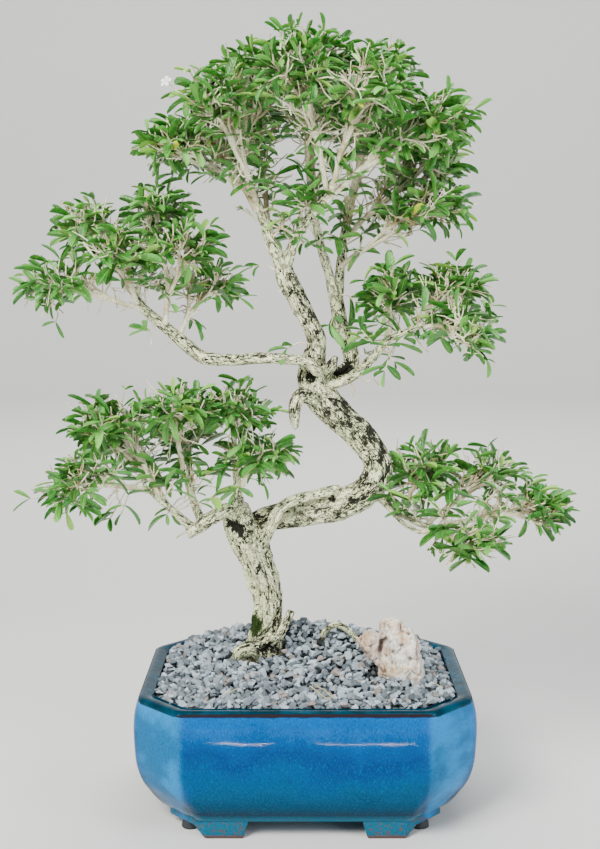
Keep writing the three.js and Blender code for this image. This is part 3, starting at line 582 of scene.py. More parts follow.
def raise_by(bm, moves):
    """Move every vertex along its normal by its own number of mm."""
    for v, move in zip(bm.verts, moves):
        v.co += v.normal * move * MM


def rounded(bm, edges, offset, segments, clamp_overlap=True):
    """Round some edges."""
    bmesh.ops.bevel(bm, geom=edges, affect="EDGES", offset=offset, segments=segments, profile=0.5,
                    material=-1, clamp_overlap=clamp_overlap)


def cut_away(bm, place, way, near):
    """Cut off what lies beyond a plane and close the cut."""
    bmesh.ops.bisect_plane(bm, geom=[*bm.verts, *bm.edges, *bm.faces], dist=near, plane_co=place,
                           plane_no=way, clear_outer=True)
    bmesh.ops.holes_fill(bm, edges=[e for e in bm.edges if e.is_boundary], sides=0)


def waves(p, across, along, shift=(0, 0, 0)):
    """Noise at a place in mm, with cells of so many mm across the grain and along it."""
    return noise.noise(Vector((p.x / across, p.y / across, p.z / along)) + Vector(shift))


def crease(p, across, along, width, shift=(0, 0, 0)):
    """1 on the lines where the noise changes its sign, falling to 0 beside them."""
    return 1 - min(1.0, abs(waves(p, across, along, shift)) / width)


def merged_copy(node):
    """A bmesh of a solid with its loose triangles joined."""
    bm = bmesh.new()
    bm.from_mesh(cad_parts[node].data)
    bmesh.ops.remove_doubles(bm, verts=bm.verts, dist=0.001 * MM)
    return bm


def solid_tree(node):
    """A search tree over the faces of a solid."""
    bm = merged_copy(node)
    tree = BVHTree.FromBMesh(bm)
    bm.free()
    return tree


def tubes(name, lines, resolution):
    """One mesh of round tapered tubes. A line is a list of points with a radius."""
    curve = bpy.data.curves.new(name, "CURVE")
    curve.dimensions = "3D"
    curve.bevel_depth = 1.0
    curve.bevel_resolution = resolution
    curve.use_fill_caps = True
    for line in lines:
        spline = curve.splines.new("POLY")
        spline.points.add(len(line) - 1)
        for point, (place, radius) in zip(spline.points, line):
            point.co = (*place, 1.0)
            point.radius = radius
    return baked(linked(name, curve))


def on_curve(before, start, end, after, t):
    """The place at t between start and end on a smooth curve through four places or numbers."""
    return 0.5 * (2 * start + (end - before) * t + (2 * before - 5 * start + 4 * end - after) * t ** 2
                  + (3 * start - before - 3 * end + after) * t ** 3)


def neighbours(row, i):
    """Four members of a row around the gap after i; the ends repeat."""
    return row[max(i - 1, 0)], row[i], row[i + 1], row[min(i + 2, len(row) - 1)]


def smooth_line(points, pieces):
    """Points along a smooth curve through the given places, each with its radius, in metres."""
    places = [Vector(p[:3]) * MM for p in points]
    radii = [p[3] * MM for p in points]
    line = []
    for i in range(len(places) - 1):
        for k in range(pieces + (i == len(places) - 2)):
            t = k / pieces
            ease = t * t * (3 - 2 * t)
            line.append((on_curve(*neighbours(places, i), t), radii[i] * (1 - ease) + radii[i + 1] * ease))
    return line


class BONSAI_OT_pot(bpy.types.Operator):
    """Make the glazed pot, with its drain holes and bracket feet"""
    bl_idname = "bonsai.pot"
    bl_label = "Pot"

    def section(self, tree, height, inside):
        """Half width, half depth and cut of the pot's wall at a height, measured on the solid."""
        far = 0.0 if inside else RAY_START
        sign = 1 if inside else -1
        centre = Vector((0, 0, height))
        half_width = tree.ray_cast(centre + Vector((far, 0, 0)), Vector((sign, 0, 0)))[0].x
        half_depth = tree.ray_cast(centre + Vector((0, far, 0)), Vector((0, sign, 0)))[0].y
        middle = centre + Vector((half_width - half_depth, 0, 0))
        slant = Vector((1, 1, 0)).normalized()
        hit = tree.ray_cast(middle + slant * far, slant * sign)[0]
        return half_width, half_depth, 2 * (half_depth - hit.y)

    def outline(self, section, height):
        """The eight corners of a level section, one after the other."""
        half_width, half_depth, cut = section
        corners = []
        for sign_x, sign_y in ((1, -1), (1, 1), (-1, 1), (-1, -1)):
            ends = [(half_width, half_depth - cut), (half_width - cut, half_depth)]
            if sign_x * sign_y < 0:
                ends.reverse()
            corners += [Vector((sign_x * x, sign_y * y, height)) for x, y in ends]
        return corners

    def levels(self, tree, heights, inside, fine):
        """Outlines at the given heights and, on a smooth curve, between them."""
        rows = [(*self.section(tree, min(h, BELOW_RIM) * MM, inside), h * MM) for h in heights]
        outlines = []
        for i in range(len(rows) - 1):
            steps = fine if rows[i + 1][3] - rows[i][3] > 3 * MM else 1
            for k in range(steps + (i == len(rows) - 2)):
                row = [on_curve(*four, k / steps) for four in zip(*neighbours(rows, i))]
                outlines.append(self.outline(row[:3], row[3]))
        return outlines

    def execute(self, context):
        pot = context.scene.bonsai_pot
        tree = solid_tree("pot")
        bm = bmesh.new()
        outside = self.levels(tree, POT_OUTSIDE_HEIGHTS, False, 4)
        inside = self.levels(tree, POT_INSIDE_HEIGHTS, True, 3)
        inside.reverse()
        outer, inner, lip = outside[-1], inside[0], []
        crest = 0.35
        for t in (0.08, 0.2, crest, 0.5, 0.7, 0.88):
            outward, inward = (1 - t / crest) ** 2, ((t - crest) / (1 - crest)) ** 2
            fall = 1.6 * MM * outward if t < crest else pot.rim * inward
            lip.append([Vector((*a.lerp(b, t).xy, inner[0].z - fall)) for a, b in zip(outer, inner)])
        for corner in inner:
            corner.z -= pot.rim
        face = bm.faces.new([bm.verts.new(corner) for corner in outside[0]])
        upright = []
        for number, ring in enumerate(outside[1:] + lip + inside):
            made = bmesh.ops.extrude_face_region(bm, geom=[face])["geom"]
            if number:
                bmesh.ops.delete(bm, geom=[face], context="FACES_ONLY")
            face = next(g for g in made if isinstance(g, bmesh.types.BMFace))
            for corner, place in zip(face.verts, ring):
                corner.co = place
            upright += [e for v in face.verts for e in v.link_edges if e not in face.edges]
        bmesh.ops.recalc_face_normals(bm, faces=bm.faces)
        for f in bm.faces:
            spot = f.calc_center_median()
            within = abs(spot.x) < inner[0].x and abs(spot.y) < max(c.y for c in inner)
            f.material_index = int(within and spot.z > 20 * MM or spot.z > 101 * MM)
        rounded(bm, upright, pot.corner, 4, clamp_overlap=False)
        body = mesh_from(bm, "pot_body")
        drills = bmesh.new()
        for side in (-1, 1):
            bmesh.ops.create_cone(drills, cap_ends=True, segments=48, radius1=DRAIN_RADIUS * MM,
                                  radius2=DRAIN_RADIUS * MM, depth=0.03,
                                  matrix=Matrix.Translation((side * DRAIN_X * MM, 0, 0.019)))
        drill = linked("drill", mesh_from(drills, "drill"))
        body = modified(body, "BOOLEAN", operation="DIFFERENCE", object=drill, solver="EXACT")
        bpy.data.objects.remove(drill)
        whole = bmesh.new()
        whole.from_mesh(body)
        whole.from_mesh(self.feet(pot))
        mesh = mesh_from(whole, "pot")
        mesh.set_sharp_from_angle(angle=math.radians(38))
        new_piece("glazed_pot", mesh, (glaze_material(pot), liner_material(pot)), "glaze", "pot")
        return {"FINISHED"}

    def feet(self, pot):
        """The bracket feet: the solid pot below its base, raised into the body and softened."""
        bm = merged_copy("pot")
        base = POT_OUTSIDE_HEIGHTS[0] * MM
        cut_away(bm, (0, 0, base - 0.3 * MM), UP, 1e-7)
        bmesh.ops.dissolve_limit(bm, angle_limit=math.radians(1), verts=bm.verts, edges=bm.edges)
        bmesh.ops.recalc_face_normals(bm, faces=bm.faces)
        sharp = [e for e in bm.edges if e.calc_face_angle(0) > math.radians(20)
                 and not all(v.co.z > base - MM for v in e.verts)]
        rounded(bm, sharp, 1.3 * MM, 3)
        for v in bm.verts:
            if v.co.z > base - 0.6 * MM:
                v.co.z += 1.2 * MM
        return mesh_from(bm, "feet")


class BONSAI_OT_foot_pads(bpy.types.Operator):
    """Make the rubber bumpers under the pot's corners"""
    bl_idname = "bonsai.foot_pads"
    bl_label = "Foot pads"

    def execute(self, context):
        rubber = rubber_material()
        for node in FOOT_PADS:
            low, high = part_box(node)
            radius, height = (high.x - low.x) / 2, high.z - low.z
            bm = bmesh.new()
            bmesh.ops.create_cone(bm, cap_ends=True, segments=40, radius1=radius, radius2=0.88 * radius,
                                  depth=height, matrix=Matrix.Translation((low + high) / 2))
            ends = [e for e in bm.edges if abs(e.verts[0].co.z - e.verts[1].co.z) < 1e-6]
            rounded(bm, ends, 0.9 * MM, 4)
            mesh = mesh_from(bm, node)
            mesh.set_sharp_from_angle(angle=math.radians(50))
            new_piece(f"{node}_bumper", mesh, (rubber,), "pads", node)
        return {"FINISHED"}


class BONSAI_OT_soil(bpy.types.Operator):
    """Give the soil its finish and lay the dark bed that shows between the chips"""
    bl_idname = "bonsai.soil"
    bl_label = "Soil"

    def execute(self, context):
        damp = soil_material()
        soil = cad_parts["soil"]
        soil.data.materials.clear()
        soil.data.materials.append(damp)
        bm = merged_copy("gravel")
        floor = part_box("gravel")[0].z + MM
        for v in bm.verts:
            if v.co.z > floor:
                v.co.z = max(floor, v.co.z - 4.5 * MM)
        new_piece("gravel_bed", mesh_from(bm, "bed", smooth=False), (damp,), "soil", "gravel")
        return {"FINISHED"}


def chip_form(seed):
    """A crushed chip about one unit long: a block broken by flat cuts."""
    rng = random.Random(seed)
    bm = bmesh.new()
    bmesh.ops.create_cube(bm, size=1.0)
    for _ in range(7):
        way = Vector((rng.uniform(-1, 1), rng.uniform(-1, 1), rng.uniform(-1, 1))).normalized()
        cut_away(bm, way * rng.uniform(0.3, 0.46), way, 1e-5)
    bmesh.ops.remove_doubles(bm, verts=bm.verts, dist=0.05)
    bmesh.ops.triangulate(bm, faces=bm.faces)
    bmesh.ops.recalc_face_normals(bm, faces=bm.faces)
    mesh = mesh_from(bm, f"chip_{seed}", smooth=False)
    mesh.attributes.new("tone", "FLOAT", "POINT")
    return mesh


def toned_copy(form, matrix, tone):
    """A form put in its place, with its own tone."""
    mesh = form.copy()
    mesh.transform(matrix)
    mesh.attributes["tone"].data.foreach_set("value", [tone] * len(mesh.vertices))
    return mesh


def gather(bm, mesh):
    """Add a mesh to a bmesh and drop it."""
    bm.from_mesh(mesh)
    bpy.data.meshes.remove(mesh)


def seat_on(ground, x, y):
    """The highest place of a solid at x and y, or None beside it."""
    return ground.ray_cast(Vector((x, y, RAY_START)), -UP)[0]


class BONSAI_OT_gravel(bpy.types.Operator):
    """Strew crushed chips over the mound"""
    bl_idname = "bonsai.gravel"
    bl_label = "Gravel"

    def inside(self, solid, place):
        """Whether the first face above a place is seen from within."""
        normal = solid.ray_cast(place, UP)[1]
        return normal is not None and normal.z > 0

    def execute(self, context):
        gravel = context.scene.bonsai_gravel
        rng = random.Random(5)
        ground, pot = solid_tree("gravel"), solid_tree("pot")
        blocked = [solid_tree("trunk"), solid_tree("stone")]
        forms = [chip_form(seed) for seed in range(14)]
        low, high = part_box("gravel")
        bm = bmesh.new()
        bm.verts.layers.float.new("tone")
        pitch = gravel.pitch
        row_pitch = 0.866 * pitch
        rows = int((high.y - low.y) / row_pitch) + 1
        columns = int((high.x - low.x) / pitch) + 1
        for layer, sink in enumerate((3.6 * MM, 0.4 * MM)):
            for row in range(rows):
                for column in range(columns):
                    x = low.x + pitch * (column + 0.5 * ((row + layer) % 2) + rng.uniform(-0.35, 0.35))
                    y = low.y + row_pitch * (row + rng.uniform(-0.35, 0.35))
                    size = gravel.chip * rng.choice((0.62, 0.8, 0.95, 1.05, 1.2)) * rng.uniform(0.9, 1.1)
                    seat = seat_on(ground, x, y)
                    # The lower layer takes tones near the dark chip colour: painted shade in the gaps between
                    # the upper chips.
                    tone = 0.2 * rng.random() if layer == 0 else 0.3 + 0.7 * rng.random()
                    turn = [rng.uniform(0, 6.28) for _ in range(3)]
                    shape = (size, size * rng.uniform(0.55, 0.85), size * rng.uniform(0.42, 0.65))
                    form = rng.choice(forms)
                    if seat is None or seat.z < LOWEST_CHIP:
                        continue
                    place = seat + Vector((0, 0, 0.18 * size - sink))
                    wall = min((pot.find_nearest(place)[3] or 1), 1)
                    if wall < 0.36 * size or any(t.find_nearest(place)[3] < 0.2 * size for t in blocked):
                        continue
                    if any(self.inside(solid, place) for solid in blocked):
                        continue
                    matrix = (Matrix.Translation(place) @ Matrix.Rotation(turn[0], 4, "Z")
                              @ Matrix.Rotation(0.6 * math.sin(turn[1]), 4, "X")
                              @ Matrix.Rotation(0.6 * math.sin(turn[2]), 4, "Y")
                              @ Matrix.Diagonal((*shape, 1)))
                    gather(bm, toned_copy(form, matrix, tone))
        mesh = mesh_from(bm, "chips", smooth=False)
        new_piece("gravel_chips", mesh, (gravel_material(gravel),), "gravel", "gravel")
        return {"FINISHED"}


class BONSAI_OT_stone(bpy.types.Operator):
    """Weather the stone"""
    bl_idname = "bonsai.stone"
    bl_label = "Stone"

    def execute(self, context):
        bm = bmesh.new()
        for middle, size, turn, lean in STONE_BLOCKS:
            block = bmesh.new()
            bmesh.ops.create_cube(block, size=1.0)
            rounded(block, block.edges, 0.16, 2)
            place = (Matrix.Translation(Vector(middle) * MM) @ Matrix.Rotation(math.radians(turn), 4, "Z")
                     @ Matrix.Rotation(math.radians(lean), 4, "Y"))
            bmesh.ops.transform(block, verts=block.verts,
                                matrix=place @ Matrix.Diagonal((*(0.95 * MM * side for side in size), 1)))
            gather(bm, mesh_from(block, "block"))
        bm = remeshed(mesh_from(bm, "rock"), 0.8 * MM)
        hollow = bm.verts.layers.float.new("hollow")
        notch = Vector(STONE_HOLLOW)
        moves = []
        for v in bm.verts:
            p = v.co / MM
            ribs = 1 - 3 * abs(waves(p, 5, 24))
            cracks = crease(p, 9, 16, 0.09, (7, 3, 1))
            lumps = noise.noise(p / 10)
            crumbs = noise.fractal(p / 4, 0.7, 2.1, 5)
            gap = p - notch
            pit = math.exp(-((gap.x - 0.2 * gap.z) / 2.4) ** 2 - (gap.y / 9) ** 2 - (gap.z / 9) ** 2)
            # This mask is painted shade: it rises where the moves below sink the surface, in cracks, low
            # ribs, low lumps, low crumbs and the notch.
            v[hollow] = clamp(0.8 * cracks - 0.6 * ribs - 0.7 * lumps + 1.6 * pit - 0.9 * crumbs)
            moves.append(0.9 * (ribs - 0.5) - 1.6 * cracks + 1.1 * lumps + 0.7 * crumbs - 7 * pit)
        raise_by(bm, moves)
        new_piece("weathered_stone", mesh_from(bm, "rock"), (rock_material(),), "rock", "stone")
        return {"FINISHED"}


def away(point, start, end):
    """Distance from a point to the line between two others."""
    start, end = Vector(start), Vector(end)
    share = (point - start).dot(end - start) / (end - start).length_squared
    return (point - start.lerp(end, clamp(share))).length


class BONSAI_OT_trunk(bpy.types.Operator):
    """Grow the trunk and its limbs, with flutes and flaking bark"""
    bl_idname = "bonsai.trunk"
    bl_label = "Trunk"

    def samples(self, lines):
        """Places along the limbs with radius, direction, a side that never twists, and way from the start."""
        found = []
        for number, (name, line) in enumerate(zip(LIMBS, lines)):
            along, side, last = PATTERN_SHIFT * number, None, None
            for i, (place, radius) in enumerate(line):
                way = (line[min(i + 1, len(line) - 1)][0] - line[max(i - 1, 0)][0]).normalized()
                if i == 0:
                    side = way.orthogonal().normalized()
                else:
                    side.rotate(last.rotation_difference(way))
                    along += (place - line[i - 1][0]).length
                found.append((place, radius, way, side.copy(), along, name))
                last = way
        return found

    def execute(self, context):
        bark = context.scene.bonsai_bark
        lines = [smooth_line(points, 6) for points in LIMBS.values()]
        samples = self.samples(lines)
        near = kdtree.KDTree(len(samples))
        for i, sample in enumerate(samples):
            near.insert(sample[0], i)
        near.balance()
        bm = remeshed(tubes("limbs", lines, 6), bark.voxel)
        layers = {name: bm.verts.layers.float.new(name) for name in ("plate", "moss", "dark")}
        straight = bm.verts.layers.float_vector.new("straight")
        moss = Vector(MOSS)
        moves = []
        for v in bm.verts:
            around = (samples[i] for _, i, _ in near.find_n(v.co, 5))
            place, radius, way, side, along, name = min(around, key=lambda s: (s[0] - v.co).length - s[1])
            offset = v.co - place
            v[straight] = (offset.dot(side), offset.dot(way.cross(side)), along + offset.dot(way))
            p, q = v.co / MM, v[straight] / MM
            stout = min(1.0, radius / (9 * MM))
            plates = waves(q, 3, 8)
            crack = crease(q, 4.2, 15, 0.14)
            strand = waves(q, 6, 55)
            groove = crease(q, 4.5, 34, 0.16, (3, 1, 8))
            lump = noise.noise(p / 14)
            flutes = 3.2 if name in ("trunk", "cut_root", "root_left") and p.z < 205 else 1.0
            hole, depth = max((math.exp(-(away(p, start, end) / size) ** 2), size)
                              for start, end, size in HOLLOWS)
            hole = clamp(1.6 * hole - 0.4 + 0.5 * noise.noise(p / 5) + 0.6 * noise.noise(p / 2.1))
            scales = bark.relief / MM * (0.5 * plates - 0.8 * crack)
            moves.append(stout * (scales + flutes * (strand - 0.6 * groove) + lump) - 0.9 * depth * hole)
            # The plate value drops by half in the hollows, which paints them near black with the fissure
            # colour as shade.
            v[layers["plate"]] = 0.5 + 0.1 * plates - 0.14 * crack - 0.5 * hole - 0.085 * flutes * groove
            dark = DARK.get(name, 0.3) if name != "trunk" else clamp((p.z - 175) / 60, 0.0, 0.6)
            v[layers["dark"]] = dark * (0.85 + 0.5 * v.normal.z + 1.3 * noise.noise(p / 6))
            v[layers["moss"]] = math.exp(-((p.x - moss.x) / 9) ** 2 - ((p.z - moss.z) / 11) ** 2)
        raise_by(bm, moves)
        new_piece("old_trunk", mesh_from(bm, "trunk"), (bark_material(bark),), "bark", "trunk")
        return {"FINISHED"}


def leaf_form(seed, curl, fold, sweep):
    """A blade one unit long along +Y and one wide, facing +Z: a narrow ellipse with a folded midrib."""
    bm = bmesh.new()
    bmesh.ops.create_uvsphere(bm, u_segments=4, v_segments=7, radius=1.0)
    blade = bm.loops.layers.uv.new("blade")
    sides = {}
    for v in bm.verts:
        along = 0.5 + 0.5 * clamp(v.co.z, -1.0)
        turn = round(math.atan2(v.co.y, v.co.x) / (math.pi / 2)) % 4 if abs(v.co.z) < 0.999 else -1
        sides[v] = (along, turn)
    for v, (along, turn) in sides.items():
        outline = math.sqrt(max(0.0, along * (1 - along))) * (0.5 + 0.75 * along)
        x = {0: outline, 2: -outline}.get(turn, 0.0)
        z = fold * outline if turn in (0, 2) else {1: 0.012, 3: -0.012}.get(turn, 0.0)
        v.co = (x + sweep * along ** 2, along, z - curl * along ** 2)
    for face in bm.faces:
        for loop in face.loops:
            along, turn = sides[loop.vert]
            loop[blade].uv = ({0: 1.0, 2: 0.0}.get(turn, 0.5), along)
    for edge in bm.edges:
        turns = {sides[v][1] for v in edge.verts}
        edge.smooth = not (turns <= {0, -1} or turns <= {2, -1})
    bmesh.ops.recalc_face_normals(bm, faces=bm.faces)
    mesh = mesh_from(bm, f"leaf_{seed}")
    mesh.attributes.new("tone", "FLOAT", "POINT")
    return mesh


def frame_matrix(base, along, facing, length, width):
    """The placing of a form that lies along +Y and faces +Z."""
    across = along.cross(facing).normalized()
    normal = across.cross(along)
    rows = [(a * width, b * length, c * length, 0) for a, b, c in zip(across, along, normal)]
    return Matrix.Translation(base) @ Matrix((*rows, (0, 0, 0, 1)))


def extent(points):
    """The low and the high corner of the box around some points."""
    return tuple(Vector([pick(p[k] for p in points) for k in range(3)]) for pick in (min, max))


def any_way(rng):
    """A direction that is as likely as any other."""
    return Vector((rng.gauss(0, 1), rng.gauss(0, 1), rng.gauss(0, 1))).normalized()


class Growth:
    """Twigs as lines of points with a radius, and leaves as a form with its place and tone."""

    def __init__(self, seed, foliage, forms):
        self.rng = random.Random(seed)
        self.foliage = foliage
        self.forms = forms
        self.lines = []
        self.leaves = []
        self.blooms = []

    def side_twigs(self):
        """Short crooked twigs along the branches; most of them are bare."""
        rng, tip = self.rng, self.foliage.tip
        for line in list(self.lines):
            last_segment = -1 if line[-1][0] in self.blooms else None
            for (start, _), (end, _) in list(zip(line[1:], line[2:]))[:last_segment]:
                way = (end - start).normalized()
                for _ in range(int((end - start).length / (3.6 * MM) + rng.random())):
                    base = start.lerp(end, rng.random())
                    first = (0.8 * way + 0.7 * any_way(rng) + 0.3 * UP).normalized()
                    second = (first + 0.45 * any_way(rng)).normalized()
                    knee = base + first * rng.uniform(4, 10) * MM
                    last = knee + second * rng.uniform(4, 9) * MM
                    self.lines.append([(base, 0.85 * tip), (knee, 0.75 * tip), (last, 0.6 * tip)])
                    if rng.random() < 0.14:
                        self.shoot(last, second, rng.choice((1, 1, 2)), 0.85)

    def along_limb(self, line):
        """Forked leafy twigs along a limb of the trunk."""
        rng, tip = self.rng, self.foliage.tip
        for (start, radius), (end, _) in zip(line, line[1:]):
            for _ in range(int((end - start).length / (4.5 * MM) + rng.random())):
                base = start.lerp(end, rng.random())
                way = (any_way(rng) + 0.7 * UP).normalized()
                knee = base + way * (radius + rng.uniform(5, 14) * MM)
                first = [(base, 1.3 * tip), (knee, tip)]
                for _ in range(2):
                    turn = (way + 0.7 * any_way(rng) + 0.3 * UP).normalized()
                    last = knee + turn * rng.uniform(6, 15) * MM
                    self.lines.append([*first, (last, 0.7 * tip)])
                    first = [(knee, 0.9 * tip)]
                    if rng.random() < 0.45:
                        self.shoot(last, turn, rng.choice((1, 2, 2, 3)))

    def shoot(self, tip, way, pairs, size=1.0):
        """Pairs of opposite leaves at the end of a twig, each pair turned a quarter from the last."""
        rng, foliage = self.rng, self.foliage
        side = way.orthogonal().normalized()
        side.rotate(Quaternion(way, rng.uniform(0, 6.28)))
        age = rng.uniform(-0.12, 0.12)
        for pair in range(pairs):
            node = tip - way * pair * rng.uniform(4.5, 7.5) * MM
            for half in (0, 1):
                if pair and rng.random() < 0.12:
                    continue
                out = side.copy()
                out.rotate(Quaternion(way, math.pi * half + math.pi / 2 * pair + rng.uniform(-0.35, 0.35)))
                spread = math.radians(rng.uniform(28, 55) + 14 * pair)
                along = way * math.cos(spread) + out * math.sin(spread)
                along.z = 0.5 * along.z - 0.06
                along = (along + 0.12 * any_way(rng)).normalized()
                facing = 0.5 * way + 1.1 * UP - 0.2 * out + 0.3 * any_way(rng)
                length = foliage.leaf * size * rng.uniform(0.55, 1.18) * (0.8 if pair == 0 else 1.0)
                width = length * foliage.width * rng.uniform(0.8, 1.35)
                tone = 0.52 + age + rng.gauss(0, 0.17) + (0.2 if pair == 0 else 0.0)
                tone = 0.99 if rng.random() < 0.003 else clamp(tone, 0.0, 0.93)
                matrix = frame_matrix(node, along, facing, length, width)
                self.leaves.append((rng.choice(self.forms), matrix, tone))

    def pieces(self, name, blade, wood, *replaced):
        """The leaves as one object and the twigs as another."""
        bm = bmesh.new()
        for form, matrix, tone in self.leaves:
            gather(bm, toned_copy(form, matrix, tone))
        new_piece(f"{name}_leaves", mesh_from(bm, name), (blade,), "foliage", *replaced)
        twigs = tubes(name, self.lines, 1)
        twigs.shade_smooth()
        new_piece(f"{name}_twigs", twigs, (wood,), "bark", *replaced)


class Spray(Growth):
    """The twigs and leaves that stand for one leafy spray of the solid model."""

    def __init__(self, node, trunk, number, foliage, forms):
        super().__init__(1000 + number, foliage, forms)
        bm = merged_copy(node)
        places = [v.co.copy() for v in bm.verts]
        bm.free()
        root = min(places, key=lambda p: trunk.find_nearest(p)[3])
        self.root = trunk.find_nearest(root)[0]
        reach = sorted((p - self.root).length for p in places)
        far = [p for p in places if (p - self.root).length > 0.45 * reach[int(0.9 * len(reach))]]
        self.low, self.high = extent(far)
        self.middle = (self.low + self.high) / 2
        self.half = (self.high - self.low) / 2
        self.outward = Vector()
        self.pad = self.low, self.high
        self.size = (self.high - self.low).length
        self.share = 1.0

    def in_heart(self, place):
        """Whether a place is in the low middle of its pad as the front shows it, where twigs are bare."""
        low, high = self.pad
        across = 2 * (place.x - low.x) / (high.x - low.x) - 1
        up = 2 * (place.z - low.z) / (high.z - low.z) - 1
        return math.hypot(across / 0.62, (up + 0.15) / 0.6) < 1

    def targets(self, count):
        """Ends for the shoots, spread over the outer part of the head and more above than below."""
        half = Vector([max(h - 12 * MM, 0.55 * h) for h in self.half])
        chosen = []
        for _ in range(count):
            tries = []
            for _ in range(9):
                way = any_way(self.rng)
                if way.z < -0.25 and self.rng.random() < 0.75:
                    way.z = -way.z
                if way.dot(self.outward) < -0.2 and self.rng.random() < 0.7:
                    way = -way
                depth = self.rng.uniform(0.4, 1.0) ** 0.5
                point = self.middle + Vector([w * h for w, h in zip(way, half)]) * depth
                gap = min(((point - other).length for other in chosen), default=1.0)
                tries.append((gap, tuple(point)))
            chosen.append(Vector(max(tries)[1]))
        return chosen

    def grow(self, start, heading, targets, line):
        """Lead a line towards the targets, forking it until each target has its own twig."""
        rng, tip = self.rng, self.foliage.tip
        radius = tip * len(targets) ** 0.33
        if len(targets) == 1:
            end = targets[0]
            middle = start.lerp(end, rng.uniform(0.35, 0.65)) + any_way(rng) * 0.1 * (end - start).length
            line += [(middle, tip), (end, 0.75 * tip)]
            self.lines.append(line)
            leafy = 0.12 if tuple(end) in self.bare else 0.95
            leafy *= 0.6 if self.in_heart(end) else 1.0
            if end not in self.blooms and rng.random() < leafy:
                self.shoot(end, (end - middle).normalized(), rng.choice((2, 2, 3, 3, 4)))
            return
        centre = sum(targets, Vector()) / len(targets)
        way = (0.35 * heading + (centre - start).normalized()).normalized()
        step = max(4 * MM, rng.uniform(0.3, 0.5) * (centre - start).length)
        nearest = min((t - start).length for t in targets)
        step = min(step, max(2 * MM, 0.7 * nearest))
        fork = start + way * step + any_way(rng) * 0.12 * step
        line.append((fork, radius))
        points = np.array([tuple(t - fork) for t in targets])
        axis = np.linalg.eigh(np.cov(points.T) + 1e-12 * np.eye(3))[1][:, -1]
        order = np.argsort(points @ axis)
        cut = clamp(round(len(targets) * rng.uniform(0.32, 0.68)), 1, len(targets) - 1)
        halves = [[targets[i] for i in order[:cut]], [targets[i] for i in order[cut:]]]
        halves.sort(key=len)
        side = tip * len(halves[0]) ** 0.33
        self.grow(fork, way, halves[1], line)
        self.grow(fork, way, halves[0], [(fork - way * 0.5 * side, side)])

    def inner_targets(self):
        """Ends for the mostly bare twigs within the head and between it and the limb."""
        ends = []
        for _ in range(int((self.middle - self.root).length / (6 * MM))):
            spread = any_way(self.rng) * self.rng.uniform(7, 19) * MM
            ends.append(self.root.lerp(self.middle, self.rng.uniform(0.3, 0.85)) + spread + 6 * MM * UP)
        for _ in range(self.foliage.shoots):
            spread = Vector([w * h for w, h in zip(any_way(self.rng), self.half)])
            ends.append(self.middle + spread * self.rng.uniform(0.2, 0.75))
        return ends

    def build(self):
        """Grow all the twigs and leaves of the spray from its place on the trunk."""
        bare = self.inner_targets()
        self.bare = {tuple(end) for end in bare}
        targets = self.targets(round(self.foliage.shoots * self.share)) + bare + self.blooms
        centre = sum(targets, Vector()) / len(targets)
        heading = (centre - self.root).normalized()
        heading = (heading + 0.3 * UP).normalized()
        base = self.foliage.tip * len(targets) ** 0.33
        first = self.root - heading * 1.5 * MM
        start = self.root + heading * 4 * MM
        self.grow(start, heading, targets, [(first, 1.15 * base), (start, base)])
        self.side_twigs()


class BONSAI_OT_sprays(bpy.types.Operator):
    """Grow the twigs and leaves of every spray"""
    bl_idname = "bonsai.sprays"
    bl_label = "Sprays"

    def execute(self, context):
        foliage, bark = context.scene.bonsai_foliage, context.scene.bonsai_bark
        trunk = solid_tree("trunk")
        forms = [leaf_form(i, *shape) for i, shape in enumerate(LEAF_SHAPES)]
        blade, wood = leaf_material(foliage), twig_material(bark)
        sprays = {node: Spray(node, trunk, number, foliage, forms) for number, node in enumerate(SPRAYS)}
        for bloom in ("flower", "bud"):
            end = sum(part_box(bloom), Vector()) / 2
            host = min(SPRAYS, key=lambda node: (sprays[node].middle - end).length)
            sprays[host].blooms.append(end)
        mean_size = sum(spray.size for spray in sprays.values()) / len(sprays)
        for node, spray in sprays.items():
            pad = [s for name, s in sprays.items() if name.rpartition("_")[0] == node.rpartition("_")[0]]
            outward = spray.middle - sum((s.middle for s in pad), Vector()) / len(pad)
            spray.pad = extent([corner for s in pad for corner in (s.low, s.high)])
            outward.z = max(outward.z, 0.2 * outward.length)
            spray.outward = outward.normalized()
            spray.share = clamp((spray.size / mean_size) ** 1.7, 0.55, 1.4)
            spray.build()
            spray.pieces(node, blade, wood, node)
        strays = Growth(7, foliage, forms)
        for start, end in STRAYS:
            start, end = Vector(start) * MM, Vector(end) * MM
            knee = start.lerp(end, 0.5) + 0.15 * (end - start).length * UP
            strays.lines.append([(start, 1.2 * foliage.tip), (knee, foliage.tip), (end, 0.8 * foliage.tip)])
            strays.shoot(end, (end - knee).normalized(), 2)
        for name, share in BUSHY.items():
            line = smooth_line(LIMBS[name], 3)
            strays.along_limb(line[int(share * len(line)):])
        for points in DEAD_TWIGS:
            strays.lines.append([(Vector(place) * MM, 1.1 * foliage.tip) for place in points])
        strays.pieces("stray", blade, wood)
        return {"FINISHED"}


